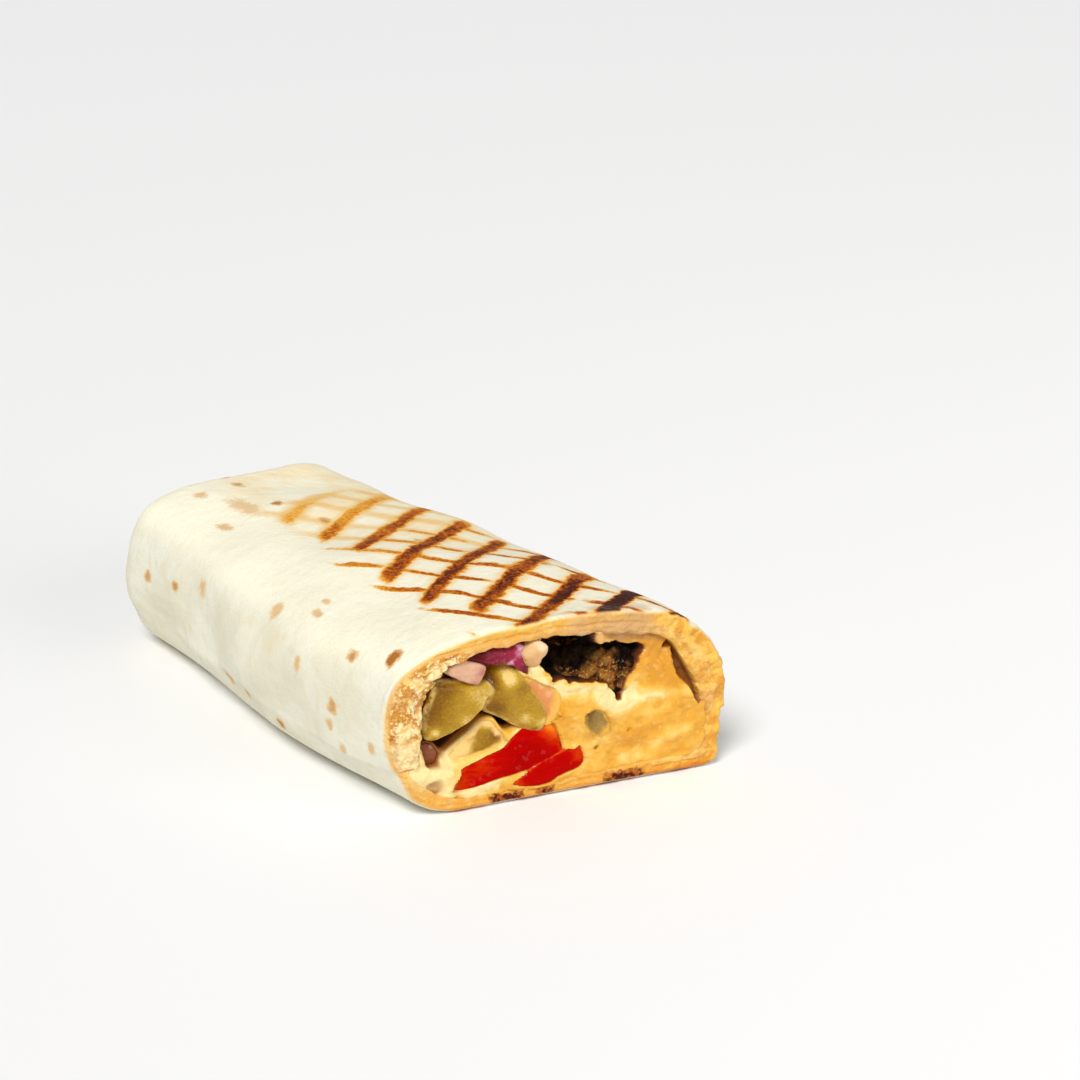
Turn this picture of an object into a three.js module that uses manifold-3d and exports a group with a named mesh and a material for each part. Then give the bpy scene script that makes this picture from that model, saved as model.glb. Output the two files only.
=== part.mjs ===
// Half of a kafta wrap: a flatbread rolled round a log of grilled minced meat, pickles, tomato, red onion and
// hummus, pressed on a grill and cut on a slant. Millimetres, +Z up. The roll lies flat on z = 0 with its axis
// along Y: the slanted cut faces -Y and the folded end faces +Y. The origin is under the middle of the roll.
import * as THREE from 'three';
import Module from 'manifold-3d';

// ---- Driving dimensions ---------------------------------------------------------------------------------
const LENGTH = 104.5; // on the axis, from the cut to the folded end
const CUT_SLANT = THREE.MathUtils.degToRad(17); // turn of the cut away from square, the +X side is longer
const FLOOR = 2.8; // bread under the fillings
const RIM = 7.5; // rounding round the folded end
const END_BULGE = 1.2; // how far the middle of the folded end stands out
const END_CENTRE_Z = 15.5; // height of the middle of the folded end
const END_HALF_WIDTH = 25.5;
const TAPER_START = 20; // where the roll starts to narrow, measured from the cut
const TAPER_END = 100;
const POCKET_NARROWS = 0.16; // share of its width that the filling loses towards the folded end
const POCKET_LOWERS = 0.1;
const BELLY = 0.05; // extra width at the fullest place
const BELLY_SHIFT = 1.5; // and how far the roll leans out to -X there
const BELLY_AT = 44;
const BELLY_REACH = 26;
const POCKET_END = 91; // the fillings stop here
const POCKET_ROUND = 6;
const FLAP = 0.9; // the outer turn of bread ends in a step this high
const FLAP_AT = 12.35; // place of that step round the outline, counted in stations
const FLAP_FROM = 10.2;
const FOLD = 0.9; // depth of the spiral crease where the end is folded in
const DENT = 0.3; // gentle unevenness of the bread
const LAYER = 2.5; // thickness of one turn of bread
const GROOVE = 0.9; // depth of the line between two turns at the cut
const RAGGED = 0.35; // unevenness of the torn crumb along the pocket
const CLEARANCE = 0.3; // bread to filling
const SEAT = 0.45; // a filling piece to the hummus round it

// The outline of the roll, seen from the cut and counted clockwise from the lower left. Each station gives
// the bread's outside at the cut, its outside at the folded end, and the pocket's wall at the cut.
const ROLL = [
  { cut: [-19.0, 0.0], end: [-17.5, 0.0], pocket: [-17.5, 2.9] },
  { cut: [-25.6, 2.8], end: [-23.0, 2.8], pocket: [-23.0, 4.6] },
  { cut: [-29.0, 8.0], end: [-25.6, 8.0], pocket: [-26.4, 8.4] },
  { cut: [-30.0, 10.4], end: [-26.2, 11.0], pocket: [-24.6, 9.6] },
  { cut: [-31.0, 16.5], end: [-26.4, 16.0], pocket: [-24.2, 15.0] },
  { cut: [-30.0, 23.0], end: [-25.4, 22.2], pocket: [-23.4, 21.0] },
  { cut: [-25.0, 28.0], end: [-21.5, 26.9], pocket: [-20.6, 25.4] },
  { cut: [-15.0, 31.2], end: [-14.0, 29.1], pocket: [-13.5, 28.2] },
  { cut: [-4.0, 32.4], end: [-4.0, 29.5], pocket: [-4.0, 28.9] },
  { cut: [10.0, 31.8], end: [9.0, 28.9], pocket: [8.5, 27.8] },
  { cut: [21.5, 29.2], end: [19.0, 27.4], pocket: [18.0, 24.6] },
  { cut: [28.0, 22.6], end: [23.6, 22.0], pocket: [22.6, 19.0] },
  { cut: [30.0, 14.0], end: [25.2, 13.0], pocket: [25.8, 12.4] },
  { cut: [29.6, 4.5], end: [24.5, 4.5], pocket: [26.2, 5.6] },
  { cut: [27.5, 0.1], end: [21.0, 0.4], pocket: [23.5, 3.2] },
  { cut: [12.0, 0.0], end: [10.0, 0.0], pocket: [11.0, 2.8] },
  { cut: [-4.0, 0.0], end: [-4.0, 0.0], pocket: [-4.0, 2.8] },
];
const OUTLINE_STEPS = 4; // facets between two stations
const SKIN_RINGS = 12; // rings of facets along the outside of the bread
const RING_STEP = 15; // longest facet along the roll, in the fillings
const POCKET_SHARES = [0.06, 0.2, 0.35, 0.5, 0.65, 0.82]; // rings of facets along the pocket

// ---- Curves and closed surfaces -------------------------------------------------------------------------
const { smoothstep, lerp } = THREE.MathUtils;

// A smooth closed curve through points, at parameter t counted in points.
function closedCurve(points, t) {
  const count = points.length;
  const i = Math.floor(t);
  const f = t - i;
  const [a, b, c, d] = [-1, 0, 1, 2].map((k) => points[(i + k + count) % count]);
  return b.map((_, axis) => {
    const bend = 2 * a[axis] - 5 * b[axis] + 4 * c[axis] - d[axis];
    const twist = 3 * b[axis] - a[axis] - 3 * c[axis] + d[axis];
    return b[axis] + 0.5 * f * (c[axis] - a[axis] + f * (bend + f * twist));
  });
}

// Corners of a hand-cut outline, softened by cutting each corner off a given number of times.
function softened(corners, rounds) {
  let points = corners;
  for (let round = 0; round < rounds; round += 1) {
    points = points.flatMap((point, i) => {
      const next = points[(i + 1) % points.length];
      return [0.25, 0.75].map((f) => [lerp(point[0], next[0], f), lerp(point[1], next[1], f)]);
    });
  }
  return points;
}

// An outline moved outwards by a distance, or inwards where it is negative.
function grown(outline, distance) {
  const area = THREE.ShapeUtils.area(outline.map(([u, z]) => new THREE.Vector2(u, z)));
  return outline.map(([u, z], i) => {
    const before = outline.at(i - 1);
    const after = outline[(i + 1) % outline.length];
    const along = new THREE.Vector2(after[0] - before[0], after[1] - before[1]).normalize();
    const side = distance * Math.sign(area);
    return [u + along.y * side, z - along.x * side];
  });
}

// A closed surface over rings of points, all of one length, that shrink to a point at either end.
function ringSolid(first, rings, last) {
  const count = rings[0].length;
  const points = [first, ...rings.flat(), last];
  const at = (ring, i) => 1 + ring * count + (i % count);
  const faces = [];
  for (let i = 0; i < count; i += 1) {
    faces.push([0, at(0, i + 1), at(0, i)]);
    for (let ring = 0; ring + 1 < rings.length; ring += 1) {
      faces.push([at(ring, i), at(ring, i + 1), at(ring + 1, i + 1)]);
      faces.push([at(ring, i), at(ring + 1, i + 1), at(ring + 1, i)]);
    }
    faces.push([points.length - 1, at(rings.length - 1, i), at(rings.length - 1, i + 1)]);
  }
  const volume = faces.reduce((sum, [a, b, c]) => {
    const [p, q, r] = [a, b, c].map((k) => new THREE.Vector3(...points[k]));
    return sum + p.dot(q.cross(r));
  }, 0);
  const geometry = new THREE.BufferGeometry();
  geometry.setAttribute('position', new THREE.Float32BufferAttribute(points.flat(), 3));
  geometry.setIndex(faces.flatMap(([a, b, c]) => (volume > 0 ? [a, b, c] : [a, c, b])));
  return geometry;
}

// ---- The form of the roll -------------------------------------------------------------------------------
const belly = (y) => Math.exp(-(((y - BELLY_AT) / BELLY_REACH) ** 2));
const taper = (y) => smoothstep(y, TAPER_START, TAPER_END);
const acrossRoll = (u, y) => u * Math.cos(CUT_SLANT) * (1 + BELLY * belly(y)) - BELLY_SHIFT * belly(y);
const cutY = (u) => -u * Math.sin(CUT_SLANT);

// A place in the filling: u along the cut, z up and the depth behind the cut, all as measured at the cut.
function inRoll(u, z, depth) {
  const y = cutY(u) + depth;
  const k = taper(y);
  return [acrossRoll(u * (1 - POCKET_NARROWS * k), y), y, FLOOR + (z - FLOOR) * (1 - POCKET_LOWERS * k)];
}

// The bread's outside round a cross-section, with the step of the outer turn and slight dents.
function breadOutside(t, y) {
  const station = closedCurve(ROLL.map(({ cut, end }) => [...cut, ...end]), t);
  const k = taper(y);
  const x = acrossRoll(lerp(station[0], station[2], k), y);
  const z = Math.max(0, lerp(station[1], station[3], k));
  const raised = FLAP * smoothstep(t, FLAP_FROM, FLAP_AT - 0.4) * (t < FLAP_AT ? 1 : 0);
  const dents = DENT * (Math.sin(y / 7 + 1.9 * t) + Math.sin(y / 4.3 - 1.1 * t)) * smoothstep(z, 2, 8);
  const out = new THREE.Vector2(x, z - END_CENTRE_Z).normalize().multiplyScalar(raised + dents);
  return [x + out.x, y, Math.max(0, z + out.y)];
}

// ---- Flatbread: one rolled sheet round a pocket, folded shut at the far end -----------------------------
function flatbread() {
  const stations = Array.from({ length: ROLL.length * OUTLINE_STEPS }, (_, i) => i / OUTLINE_STEPS);
  stations.push(FLAP_AT - 0.03, FLAP_AT + 0.03);
  stations.sort((a, b) => a - b);
  const cutOutline = (t) => closedCurve(ROLL.map(({ cut }) => cut), t);
  const pocketOutline = (t) => closedCurve(ROLL.map(({ pocket }) => pocket), t);
  const outsideLength = LENGTH - RIM;

  // Pocket wall, from its closed end to the cut.
  const pocketRings = [0.97, 0.8, 0].map((angle) => {
    const shrink = 1 - (POCKET_ROUND * (1 - Math.cos((angle * Math.PI) / 2))) / END_CENTRE_Z;
    const depth = POCKET_END - POCKET_ROUND * (1 - Math.sin((angle * Math.PI) / 2));
    return stations.map((t) => {
      const [u, z] = pocketOutline(t);
      return inRoll(u * shrink, END_CENTRE_Z + (z - END_CENTRE_Z) * shrink, depth - cutY(u));
    });
  });
  for (const share of POCKET_SHARES.toReversed()) {
    pocketRings.push(stations.map((t) => {
      const [u, z] = pocketOutline(t);
      return inRoll(u, z, share * (POCKET_END - POCKET_ROUND - cutY(u)));
    }));
  }

  // The cut edge of the bread, from the pocket to the skin: ragged crumb, then the line between two turns.
  const edgeRing = (place, sink) => stations.map((t) => {
    const outside = breadOutside(t, cutY(cutOutline(t)[0]));
    const wall = inRoll(...pocketOutline(t), 0);
    const share = place(Math.hypot(wall[0] - outside[0], wall[2] - outside[2]));
    const x = lerp(outside[0], wall[0], share);
    return [x, -x * Math.tan(CUT_SLANT) + sink(t), lerp(outside[2], wall[2], share)];
  });
  const line = (width) => Math.min(0.62, LAYER / width);
  const edgeRings = [
    edgeRing(() => 1, (t) => 0.45 + RAGGED * Math.sin(5 * t) * Math.sin(2.3 * t + 1)),
    edgeRing(() => 0.8, () => -0.1),
    edgeRing((width) => line(width) + 0.09, () => 0),
    edgeRing(line, () => GROOVE),
    edgeRing((width) => line(width) - 0.09, () => 0),
    edgeRing(() => 0.08, () => 0),
  ];

  // The skin, from the cut to the rounding of the folded end.
  const skinRings = Array.from({ length: SKIN_RINGS }, (_, row) => {
    const share = Math.max(0.004, row / (SKIN_RINGS - 1));
    return stations.map((t) => breadOutside(t, lerp(cutY(cutOutline(t)[0]), outsideLength, share)));
  });

  // The folded end: a rounded rim and a nearly flat face with a spiral crease of two arms.
  const crease = (t, share) => [0, 1].reduce((sum, turn) => {
    const arm = 0.3 + 0.45 * (t / ROLL.length + turn);
    return sum + Math.exp(-(((share - arm) / 0.11) ** 2));
  }, 0);
  const endRing = (inset, share, yAt) => stations.map((t) => {
    const [x, , z] = breadOutside(t, outsideLength);
    const narrowed = share * (1 - inset / END_HALF_WIDTH);
    const lowered = share * (1 - inset / END_CENTRE_Z);
    return [x * narrowed, yAt(t), END_CENTRE_Z + (z - END_CENTRE_Z) * lowered];
  });
  const rimRings = [0.22, 0.45, 0.68, 0.88].map((turn) => {
    const angle = (turn * Math.PI) / 2;
    return endRing(RIM * (1 - Math.cos(angle)), 1, () => outsideLength + RIM * Math.sin(angle));
  });
  const faceRings = [0.97, 0.82, 0.68, 0.54, 0.4, 0.26, 0.12].map((share) => (
    endRing(RIM, share, (t) => LENGTH + END_BULGE * (1 - share) - FOLD * crease(t, share))));

  const pocketPole = inRoll(0, END_CENTRE_Z, POCKET_END);
  const endPole = [0, LENGTH + END_BULGE, END_CENTRE_Z];
  return ringSolid(pocketPole, [...pocketRings, ...edgeRings, ...skinRings, ...rimRings, ...faceRings], endPole);
}

// ---- Fillings -------------------------------------------------------------------------------------------
// Each cut piece: its outline on the cut, how often its corners are softened, the depth of its face behind
// the cut, how far the middle of the face stands out, and the depth at which the piece ends.
const PIECES = {
  pickle_a: {
    corners: [[-21.4, 24], [-17.6, 23.6], [-15.8, 22.4], [-12.4, 22], [-13.5, 18.6], [-15.6, 15.6],
      [-22.6, 14.2], [-23.1, 18.2]],
    rounds: 2, face: 0.6, dome: 0.9, reach: 46, food: 'pickle',
  },
  pickle_b: {
    corners: [[-11.6, 25.2], [-8.6, 24.6], [-6, 21.2], [-2.5, 15.6], [-3, 13.2], [-5.4, 12.4],
      [-12.8, 17.2], [-12, 21.2]],
    rounds: 2, face: 0.4, dome: 1.2, reach: 52, food: 'pickle',
  },
  pickle_c: {
    corners: [[-19.4, 11.4], [-15, 14.2], [-12.2, 15.4], [-10.6, 13.8], [-8.8, 11.3], [-15.8, 9.4], [-19.3, 5.9]],
    rounds: 1, face: 1.8, dome: 0.8, reach: 40, food: 'pickle',
  },
  pickle_d: {
    corners: [[3.6, 12.6], [4.8, 14.8], [6.8, 15], [8.4, 12.6], [8.4, 10.2], [6.4, 9.2], [4.6, 10.4]],
    rounds: 1, face: 0.9, dome: 0.3, reach: 24, food: 'pickle',
  },
  tomato_a: {
    corners: [[-18.9, 3.8], [-18.2, 6.2], [-15.8, 8.4], [-7.4, 10.5], [-2.6, 11.8], [-0.8, 10], [0, 7.4],
      [-1.4, 4.9], [-7.8, 5.2], [-16.4, 3.5]],
    rounds: 2, face: 0.5, dome: 1, reach: 60, food: 'tomato',
  },
  tomato_b: {
    corners: [[-7, 3.4], [-5.6, 4.4], [-1.2, 4.3], [0.9, 6.9], [3.4, 7.8], [3.9, 5.3], [-0.4, 3.7], [-2.4, 3.3]],
    rounds: 1, face: 0.7, dome: 0.5, reach: 34, food: 'tomato',
  },
  onion_a: {
    corners: [[-16.2, 26.6], [-13.4, 27.7], [-9.4, 28.1], [-5.9, 28.1], [-6.8, 26], [-10, 25.9], [-14.6, 26.3]],
    rounds: 1, face: 1.2, dome: 0.5, reach: 30, food: 'red_onion',
  },
  onion_b: {
    corners: [[-19, 24.9], [-17.4, 26.1], [-12.7, 25.4], [-14.2, 22.9], [-15.9, 23.3]],
    rounds: 1, face: 0.3, dome: 0.5, reach: 18, food: 'pale_onion',
  },
  onion_c: {
    corners: [[-6.4, 24.6], [-5.5, 26.6], [-5.2, 28], [-3.6, 28.4], [-2.4, 27.2], [-3.2, 25.4], [-4.2, 24.4]],
    rounds: 1, face: 0.4, dome: 0.6, reach: 22, food: 'pale_onion',
  },
  onion_d: {
    corners: [[-6, 23.6], [-4.2, 23.7], [-1.4, 19.6], [0.5, 16.4], [0.3, 14.3], [-1.6, 14.6], [-1.8, 15.9],
      [-5.2, 21.4]],
    rounds: 1, face: 1, dome: 0.3, reach: 38, food: 'pale_onion',
  },
  onion_e: {
    corners: [[-23.7, 12.4], [-20.8, 12], [-20.2, 10], [-22.6, 8.6], [-23.8, 9.6]],
    rounds: 1, face: 3.4, dome: 0.6, reach: 26, food: 'red_onion',
  },
};

const KAFTA = {
  corners: [[-1.4, 20.6], [2, 18.4], [6.5, 18], [10.6, 15], [13.8, 17.4], [15, 21.4], [12.8, 24.4],
    [8, 25.2], [3, 24.8], [-0.6, 23.4]],
  face: 4.2,
  reach: 78,
  crag: 0.05, // share of its girth that the crumbly surface goes in and out
};

// The open hollow over the meat and the gap along the right-hand wall, cut out of the hummus.
const CAVITY = {
  corners: [[-3.4, 25.6], [-2.4, 27.2], [-1, 30], [5.6, 30], [6.6, 27.2], [9, 26], [10.4, 26.6], [12.2, 25.2],
    [16, 24.4], [15, 21.2], [13.4, 18.4], [12, 16.4], [10.4, 15.4], [9.4, 17.4], [6, 19.8], [2.4, 19.4],
    [-1.2, 21.2], [-3.4, 23.8]],
  depth: 15,
};
const WALL_GAP = {
  corners: [[17, 26.4], [22, 26], [27.6, 12.4], [25.6, 11.8], [23.2, 15.2], [20.5, 19.4], [19, 22.2]],
  depth: 8,
};
const PICKLE_HOLLOW = { at: [-14.5, 16.5], radius: [9.5, 8], depth: 5 }; // hummus lies deeper round the pickles

const middle = (points) => [0, 1].map((axis) => points.reduce((sum, p) => sum + p[axis], 0) / points.length);

// Rings of one outline, each at its share of the full size and its depth behind the cut.
function pieceSolid(outline, steps) {
  const [u0, z0] = middle(outline);
  const rings = steps.map(([share, depth]) => outline.map(([u, z]) => (
    inRoll(lerp(u0, u, share), lerp(z0, z, share), depth))));
  return ringSolid(inRoll(u0, z0, steps[0][1]), rings, inRoll(u0, z0, steps.at(-1)[1]));
}

// Full-size rings from one depth to another, close enough together to follow the roll's bend.
function fullRings(from, to) {
  const count = Math.ceil((to - from) / RING_STEP);
  return Array.from({ length: count + 1 }, (_, i) => [1, lerp(from, to, i / count)]);
}

// A vegetable strip that runs through the roll, with a domed face and a blunt tapering tail.
function strip({ corners, rounds, face, dome, reach }) {
  return pieceSolid(softened(corners, rounds), [
    [0.5, face - dome], [0.86, face - 0.5 * dome], ...fullRings(face + 0.5, reach - 4),
    [0.7, reach - 1.5], [0.3, reach],
  ]);
}

// The room that a strip takes in the hummus: open to the front, and a little larger all round.
function seatOf({ corners, reach }) {
  const outline = grown(softened(corners, 1), SEAT);
  return pieceSolid(outline, [[1, -6], ...fullRings(0, reach + SEAT)]);
}

// The log of minced meat: crumbly knobs round it and over its broken face.
function kaftaLog() {
  const outline = softened(KAFTA.corners, 2);
  const [u0, z0] = middle(outline);
  const knob = (u, z, depth) => (Math.sin(1.5 * u + 0.8 * depth) * Math.sin(1.7 * z - 0.7 * depth)
    + 0.5 * Math.sin(2.9 * u - 1.3 * z + 0.9 * depth));
  const ring = (share, depth) => outline.map(([u, z]) => {
    const [pu, pz] = [lerp(u0, u, share), lerp(z0, z, share)];
    const size = share * (1 + KAFTA.crag * (knob(pu, pz, depth) - 1));
    return inRoll(lerp(u0, u, size), lerp(z0, z, size), depth + 0.6 * knob(pu, pz, 0));
  });
  const front = [0.18, 0.36, 0.54, 0.72, 0.88].map((share) => ring(share, KAFTA.face + 1.4 * share ** 3));
  const side = [0, 2, 4, 6.2, 9, 14, 24, 34, 44, 54, 64].map((depth) => (
    ring(1, KAFTA.face + 1.8 + depth)));
  return ringSolid(inRoll(u0, z0, KAFTA.face), [...front, ...side, ring(0.6, KAFTA.reach - 4)],
    inRoll(u0, z0, KAFTA.reach - 2));
}

// Hummus fills the pocket, flush with the cut on the right and at the foot, and deeper round the pickles.
function hummusBlank() {
  const outline = grown(Array.from({ length: ROLL.length * 2 }, (_, i) => (
    closedCurve(ROLL.map(({ pocket }) => pocket), i / 2))), -CLEARANCE);
  const [u0, z0] = [0, 14];
  const sink = (u, z) => {
    const { at, radius, depth } = PICKLE_HOLLOW;
    const off = Math.hypot((u - at[0]) / radius[0], (z - at[1]) / radius[1]);
    return 0.5 + depth * smoothstep(1.3 - off, 0, 0.6) + 0.35 * Math.sin(0.7 * u) * Math.sin(0.9 * z);
  };
  const face = [0.14, 0.3, 0.46, 0.6, 0.73, 0.86, 1].map((share) => outline.map(([u, z]) => {
    const [pu, pz] = [lerp(u0, u, share), lerp(z0, z, share)];
    return inRoll(pu, pz, sink(pu, pz) + (share === 1 ? 0.4 : 0));
  }));
  const side = [...POCKET_SHARES, 1].map((share) => outline.map(([u, z]) => (
    inRoll(u, z, share * (POCKET_END - POCKET_ROUND - 1 - cutY(u))))));
  const tail = outline.map(([u, z]) => inRoll(lerp(u0, u, 0.8), lerp(z0, z, 0.8), POCKET_END - 3 - cutY(u)));
  return ringSolid(inRoll(u0, z0, sink(u0, z0)), [...face, ...side, tail], inRoll(u0, z0, POCKET_END - 2));
}

// ---- Cutting the pieces' room out of the hummus ---------------------------------------------------------
const wasm = await Module();
wasm.setup();

function toManifold(geometry) {
  return new wasm.Manifold(new wasm.Mesh({
    numProp: 3,
    vertProperties: new Float32Array(geometry.attributes.position.array),
    triVerts: new Uint32Array(geometry.index.array),
  }));
}

function toGeometry(solid) {
  const mesh = solid.getMesh();
  const geometry = new THREE.BufferGeometry();
  geometry.setAttribute('position', new THREE.BufferAttribute(new Float32Array(mesh.vertProperties), 3));
  geometry.setIndex(Array.from(mesh.triVerts));
  return geometry;
}

function hummus() {
  const cutters = Object.values(PIECES).map(seatOf);
  const kaftaSeat = grown(softened(KAFTA.corners, 1), SEAT);
  cutters.push(pieceSolid(kaftaSeat, fullRings(KAFTA.face - 1, KAFTA.reach)));
  cutters.push(pieceSolid(CAVITY.corners, [[1, -6], [1, CAVITY.depth - 3], [0.8, CAVITY.depth]]));
  cutters.push(pieceSolid(WALL_GAP.corners, [[1, -6], [1, WALL_GAP.depth]]));
  const left = cutters.reduce((solid, cutter) => solid.subtract(toManifold(cutter)), toManifold(hummusBlank()));
  const scraps = left.decompose();
  return toGeometry(scraps.sort((a, b) => b.numTri() - a.numTri())[0]);
}

// ---- The whole half -------------------------------------------------------------------------------------
const FINISH = {
  bread: { color: '#f3ecd8', roughness: 0.85 },
  hummus: { color: '#efc768', roughness: 0.45 },
  kafta: { color: '#5c3a1a', roughness: 0.6 },
  pickle: { color: '#9c8a36', roughness: 0.35 },
  tomato: { color: '#d11f06', roughness: 0.25 },
  red_onion: { color: '#8d2c55', roughness: 0.3 },
  pale_onion: { color: '#dcae9a', roughness: 0.35 },
};

const roll = new THREE.Group();

function add(name, geometry, finish) {
  const mesh = new THREE.Mesh(geometry, new THREE.MeshStandardMaterial({ metalness: 0, ...FINISH[finish] }));
  mesh.name = name;
  roll.add(mesh);
}

add('flatbread', flatbread(), 'bread');
add('hummus', hummus(), 'hummus');
add('kafta', kaftaLog(), 'kafta');
Object.entries(PIECES).forEach(([name, piece]) => add(name, strip(piece), piece.food));

// The origin goes under the middle of the whole.
const box = new THREE.Box3().setFromObject(roll);
const centre = box.getCenter(new THREE.Vector3());
roll.position.set(-centre.x, -centre.y, -box.min.z);

const wrap = new THREE.Group();
wrap.add(roll);
export default wrap;
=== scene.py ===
"""Half of a grilled kafta wrap, cut on a slant: the looks of every piece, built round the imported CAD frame."""

import bpy
import numpy as np
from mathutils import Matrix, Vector


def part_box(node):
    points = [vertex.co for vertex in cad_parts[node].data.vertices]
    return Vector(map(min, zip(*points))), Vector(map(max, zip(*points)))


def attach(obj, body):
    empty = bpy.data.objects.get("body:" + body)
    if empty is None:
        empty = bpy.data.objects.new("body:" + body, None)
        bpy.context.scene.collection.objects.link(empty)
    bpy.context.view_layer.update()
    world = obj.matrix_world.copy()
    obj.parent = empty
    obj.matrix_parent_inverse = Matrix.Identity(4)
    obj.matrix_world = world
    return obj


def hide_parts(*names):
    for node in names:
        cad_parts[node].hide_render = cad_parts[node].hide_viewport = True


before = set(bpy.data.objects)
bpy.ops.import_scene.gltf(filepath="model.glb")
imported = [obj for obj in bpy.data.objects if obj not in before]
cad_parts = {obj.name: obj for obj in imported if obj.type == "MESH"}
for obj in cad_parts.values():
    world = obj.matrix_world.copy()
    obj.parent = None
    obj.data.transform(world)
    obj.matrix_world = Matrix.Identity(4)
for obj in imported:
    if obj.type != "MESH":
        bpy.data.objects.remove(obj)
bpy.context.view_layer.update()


# ---- Flatbread ----
# One soft wheat sheet about 2.5 mm thick, rolled in two turns round the filling and folded shut at the far end.
# The outside is floury and toasted in spots, the top and underside carry the marks of a ridged grill, and the
# slanted knife cut shows pale skin, the line between the turns and a thick porous crumb along the left wall.
LENGTH = 104.5  # millimetres, as are all sizes of the roll below
CUT_SLANT = np.radians(17)
FLOOR = 2.8
RIM = 7.5
END_BULGE = 1.2
END_CENTRE_Z = 15.5
END_HALF_WIDTH = 25.5
TAPER_START, TAPER_END = 20, 100
POCKET_NARROWS, POCKET_LOWERS = 0.16, 0.1
BELLY, BELLY_SHIFT, BELLY_AT, BELLY_REACH = 0.05, 1.5, 44, 26
POCKET_END, POCKET_ROUND = 91, 6
FLAP, FLAP_AT, FLAP_FROM = 0.9, 12.35, 10.2
FOLD = 0.9
DENT = 0.3

# Stations round the roll, clockwise from the lower left as the cut is seen: the outside at the cut, the
# outside at the folded end and the pocket's wall at the cut, each as a place across and a height.
ROLL = np.array([
    (-19.0, 0.0, -17.5, 0.0, -17.5, 2.2),
    (-25.6, 2.8, -23.0, 2.8, -23.0, 4.6),
    (-29.0, 8.0, -25.6, 8.0, -26.4, 8.4),
    (-30.0, 10.4, -26.2, 11.0, -24.6, 9.6),
    (-31.0, 16.5, -26.4, 16.0, -24.2, 15.0),
    (-30.0, 23.0, -25.4, 22.2, -23.4, 21.0),
    (-25.0, 28.0, -21.5, 26.9, -20.6, 25.4),
    (-15.0, 31.2, -14.0, 29.1, -13.5, 28.2),
    (-4.0, 32.4, -4.0, 29.5, -4.0, 28.9),
    (10.0, 31.8, 9.0, 28.9, 8.5, 27.8),
    (21.5, 29.2, 19.0, 27.4, 19.2, 25.2),
    (28.0, 22.6, 23.6, 22.0, 23.8, 18.6),
    (30.0, 14.0, 25.2, 13.0, 26.0, 12.2),
    (29.6, 4.5, 24.5, 4.5, 26.2, 5.6),
    (27.5, 0.1, 21.0, 0.4, 23.5, 3.2),
    (12.0, 0.0, 10.0, 0.0, 11.0, 2.8),
    (-4.0, 0.0, -4.0, 0.0, -4.0, 2.0),
])


def smooth(value, low, high):
    """0 below low, 1 above high and an S-curve between them."""
    share = np.clip((value - low) / (high - low), 0, 1)
    return share * share * (3 - 2 * share)


def bell(value, width):
    """1 at 0, falling off like a bell on either side: e to the minus square of value over width."""
    return np.exp(-((value / width) ** 2))


def closed_curve(points, t):
    """A closed curve through points at parameter t counted in points: each stretch is the cubic whose slope at
    either end is half the step between the neighbouring points."""
    count = len(points)
    start = np.floor(t).astype(int)
    f = (t - start)[..., None]
    before, here, after, beyond = (points[(start + step) % count] for step in (-1, 0, 1, 2))
    bend = 2 * before - 5 * here + 4 * after - beyond
    twist = 3 * here - before - 3 * after + beyond
    return here + 0.5 * f * (after - before + f * (bend + f * twist))


def across_roll(u, y):
    """A place along the slanted cut becomes a place across the roll, wider and further out at the belly."""
    belly = bell(y - BELLY_AT, BELLY_REACH)
    return u * np.cos(CUT_SLANT) * (1 + BELLY * belly) - BELLY_SHIFT * belly


def cut_y(u):
    """Where the slanted cut crosses a place u along it."""
    return -u * np.sin(CUT_SLANT)


def in_roll(u, z, depth):
    """A place of the filling, measured at the cut and carried to its depth: width and height shrink a little
    towards the folded end."""
    y = cut_y(u) + depth
    taper = smooth(y, TAPER_START, TAPER_END)
    x = across_roll(u * (1 - POCKET_NARROWS * taper), y)
    return np.stack([x, y, FLOOR + (z - FLOOR) * (1 - POCKET_LOWERS * taper)], -1)


NOISE_CUBES = 24  # along each axis, after which the random numbers start again


def lattice_noise(points, size, seed):
    """Smooth noise from -1 to 1: random numbers at the corners of cubes of the given size, blended with
    S-curves along each axis."""
    table = np.random.default_rng(seed).uniform(-1, 1, (NOISE_CUBES,) * 3)
    scaled = points / size
    corner = np.floor(scaled).astype(int)
    f = scaled - corner
    f = f * f * (3 - 2 * f)
    total = 0
    for step in np.ndindex(2, 2, 2):
        weight = np.prod(np.where(step, f, 1 - f), axis=-1)
        total += weight * table[tuple(np.moveaxis((corner + step) % NOISE_CUBES, -1, 0))]
    return total


def rough(points, size, seed, octaves=3):
    """Noise at several scales: each next one is half the size and half as strong."""
    return sum(lattice_noise(points, size / 2**i, seed + i) / 2**i for i in range(octaves))


def knobs(points, size, seed):
    """How far each point is from the nearest of randomly placed centres, one in each cube of the given size,
    as a share of that size: 0 at a centre, near 1 at the clefts between them."""
    table = np.random.default_rng(seed).uniform(0, 1, (NOISE_CUBES,) * 3 + (3,))
    scaled = points / size
    nearest = np.full(points.shape[:-1], 9.0)
    for step in np.ndindex(3, 3, 3):
        cube = np.floor(scaled).astype(int) + step - 1
        centre = cube + table[tuple(np.moveaxis(cube % NOISE_CUBES, -1, 0))]
        nearest = np.minimum(nearest, ((scaled - centre) ** 2).sum(-1))
    return np.sqrt(nearest)


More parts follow.
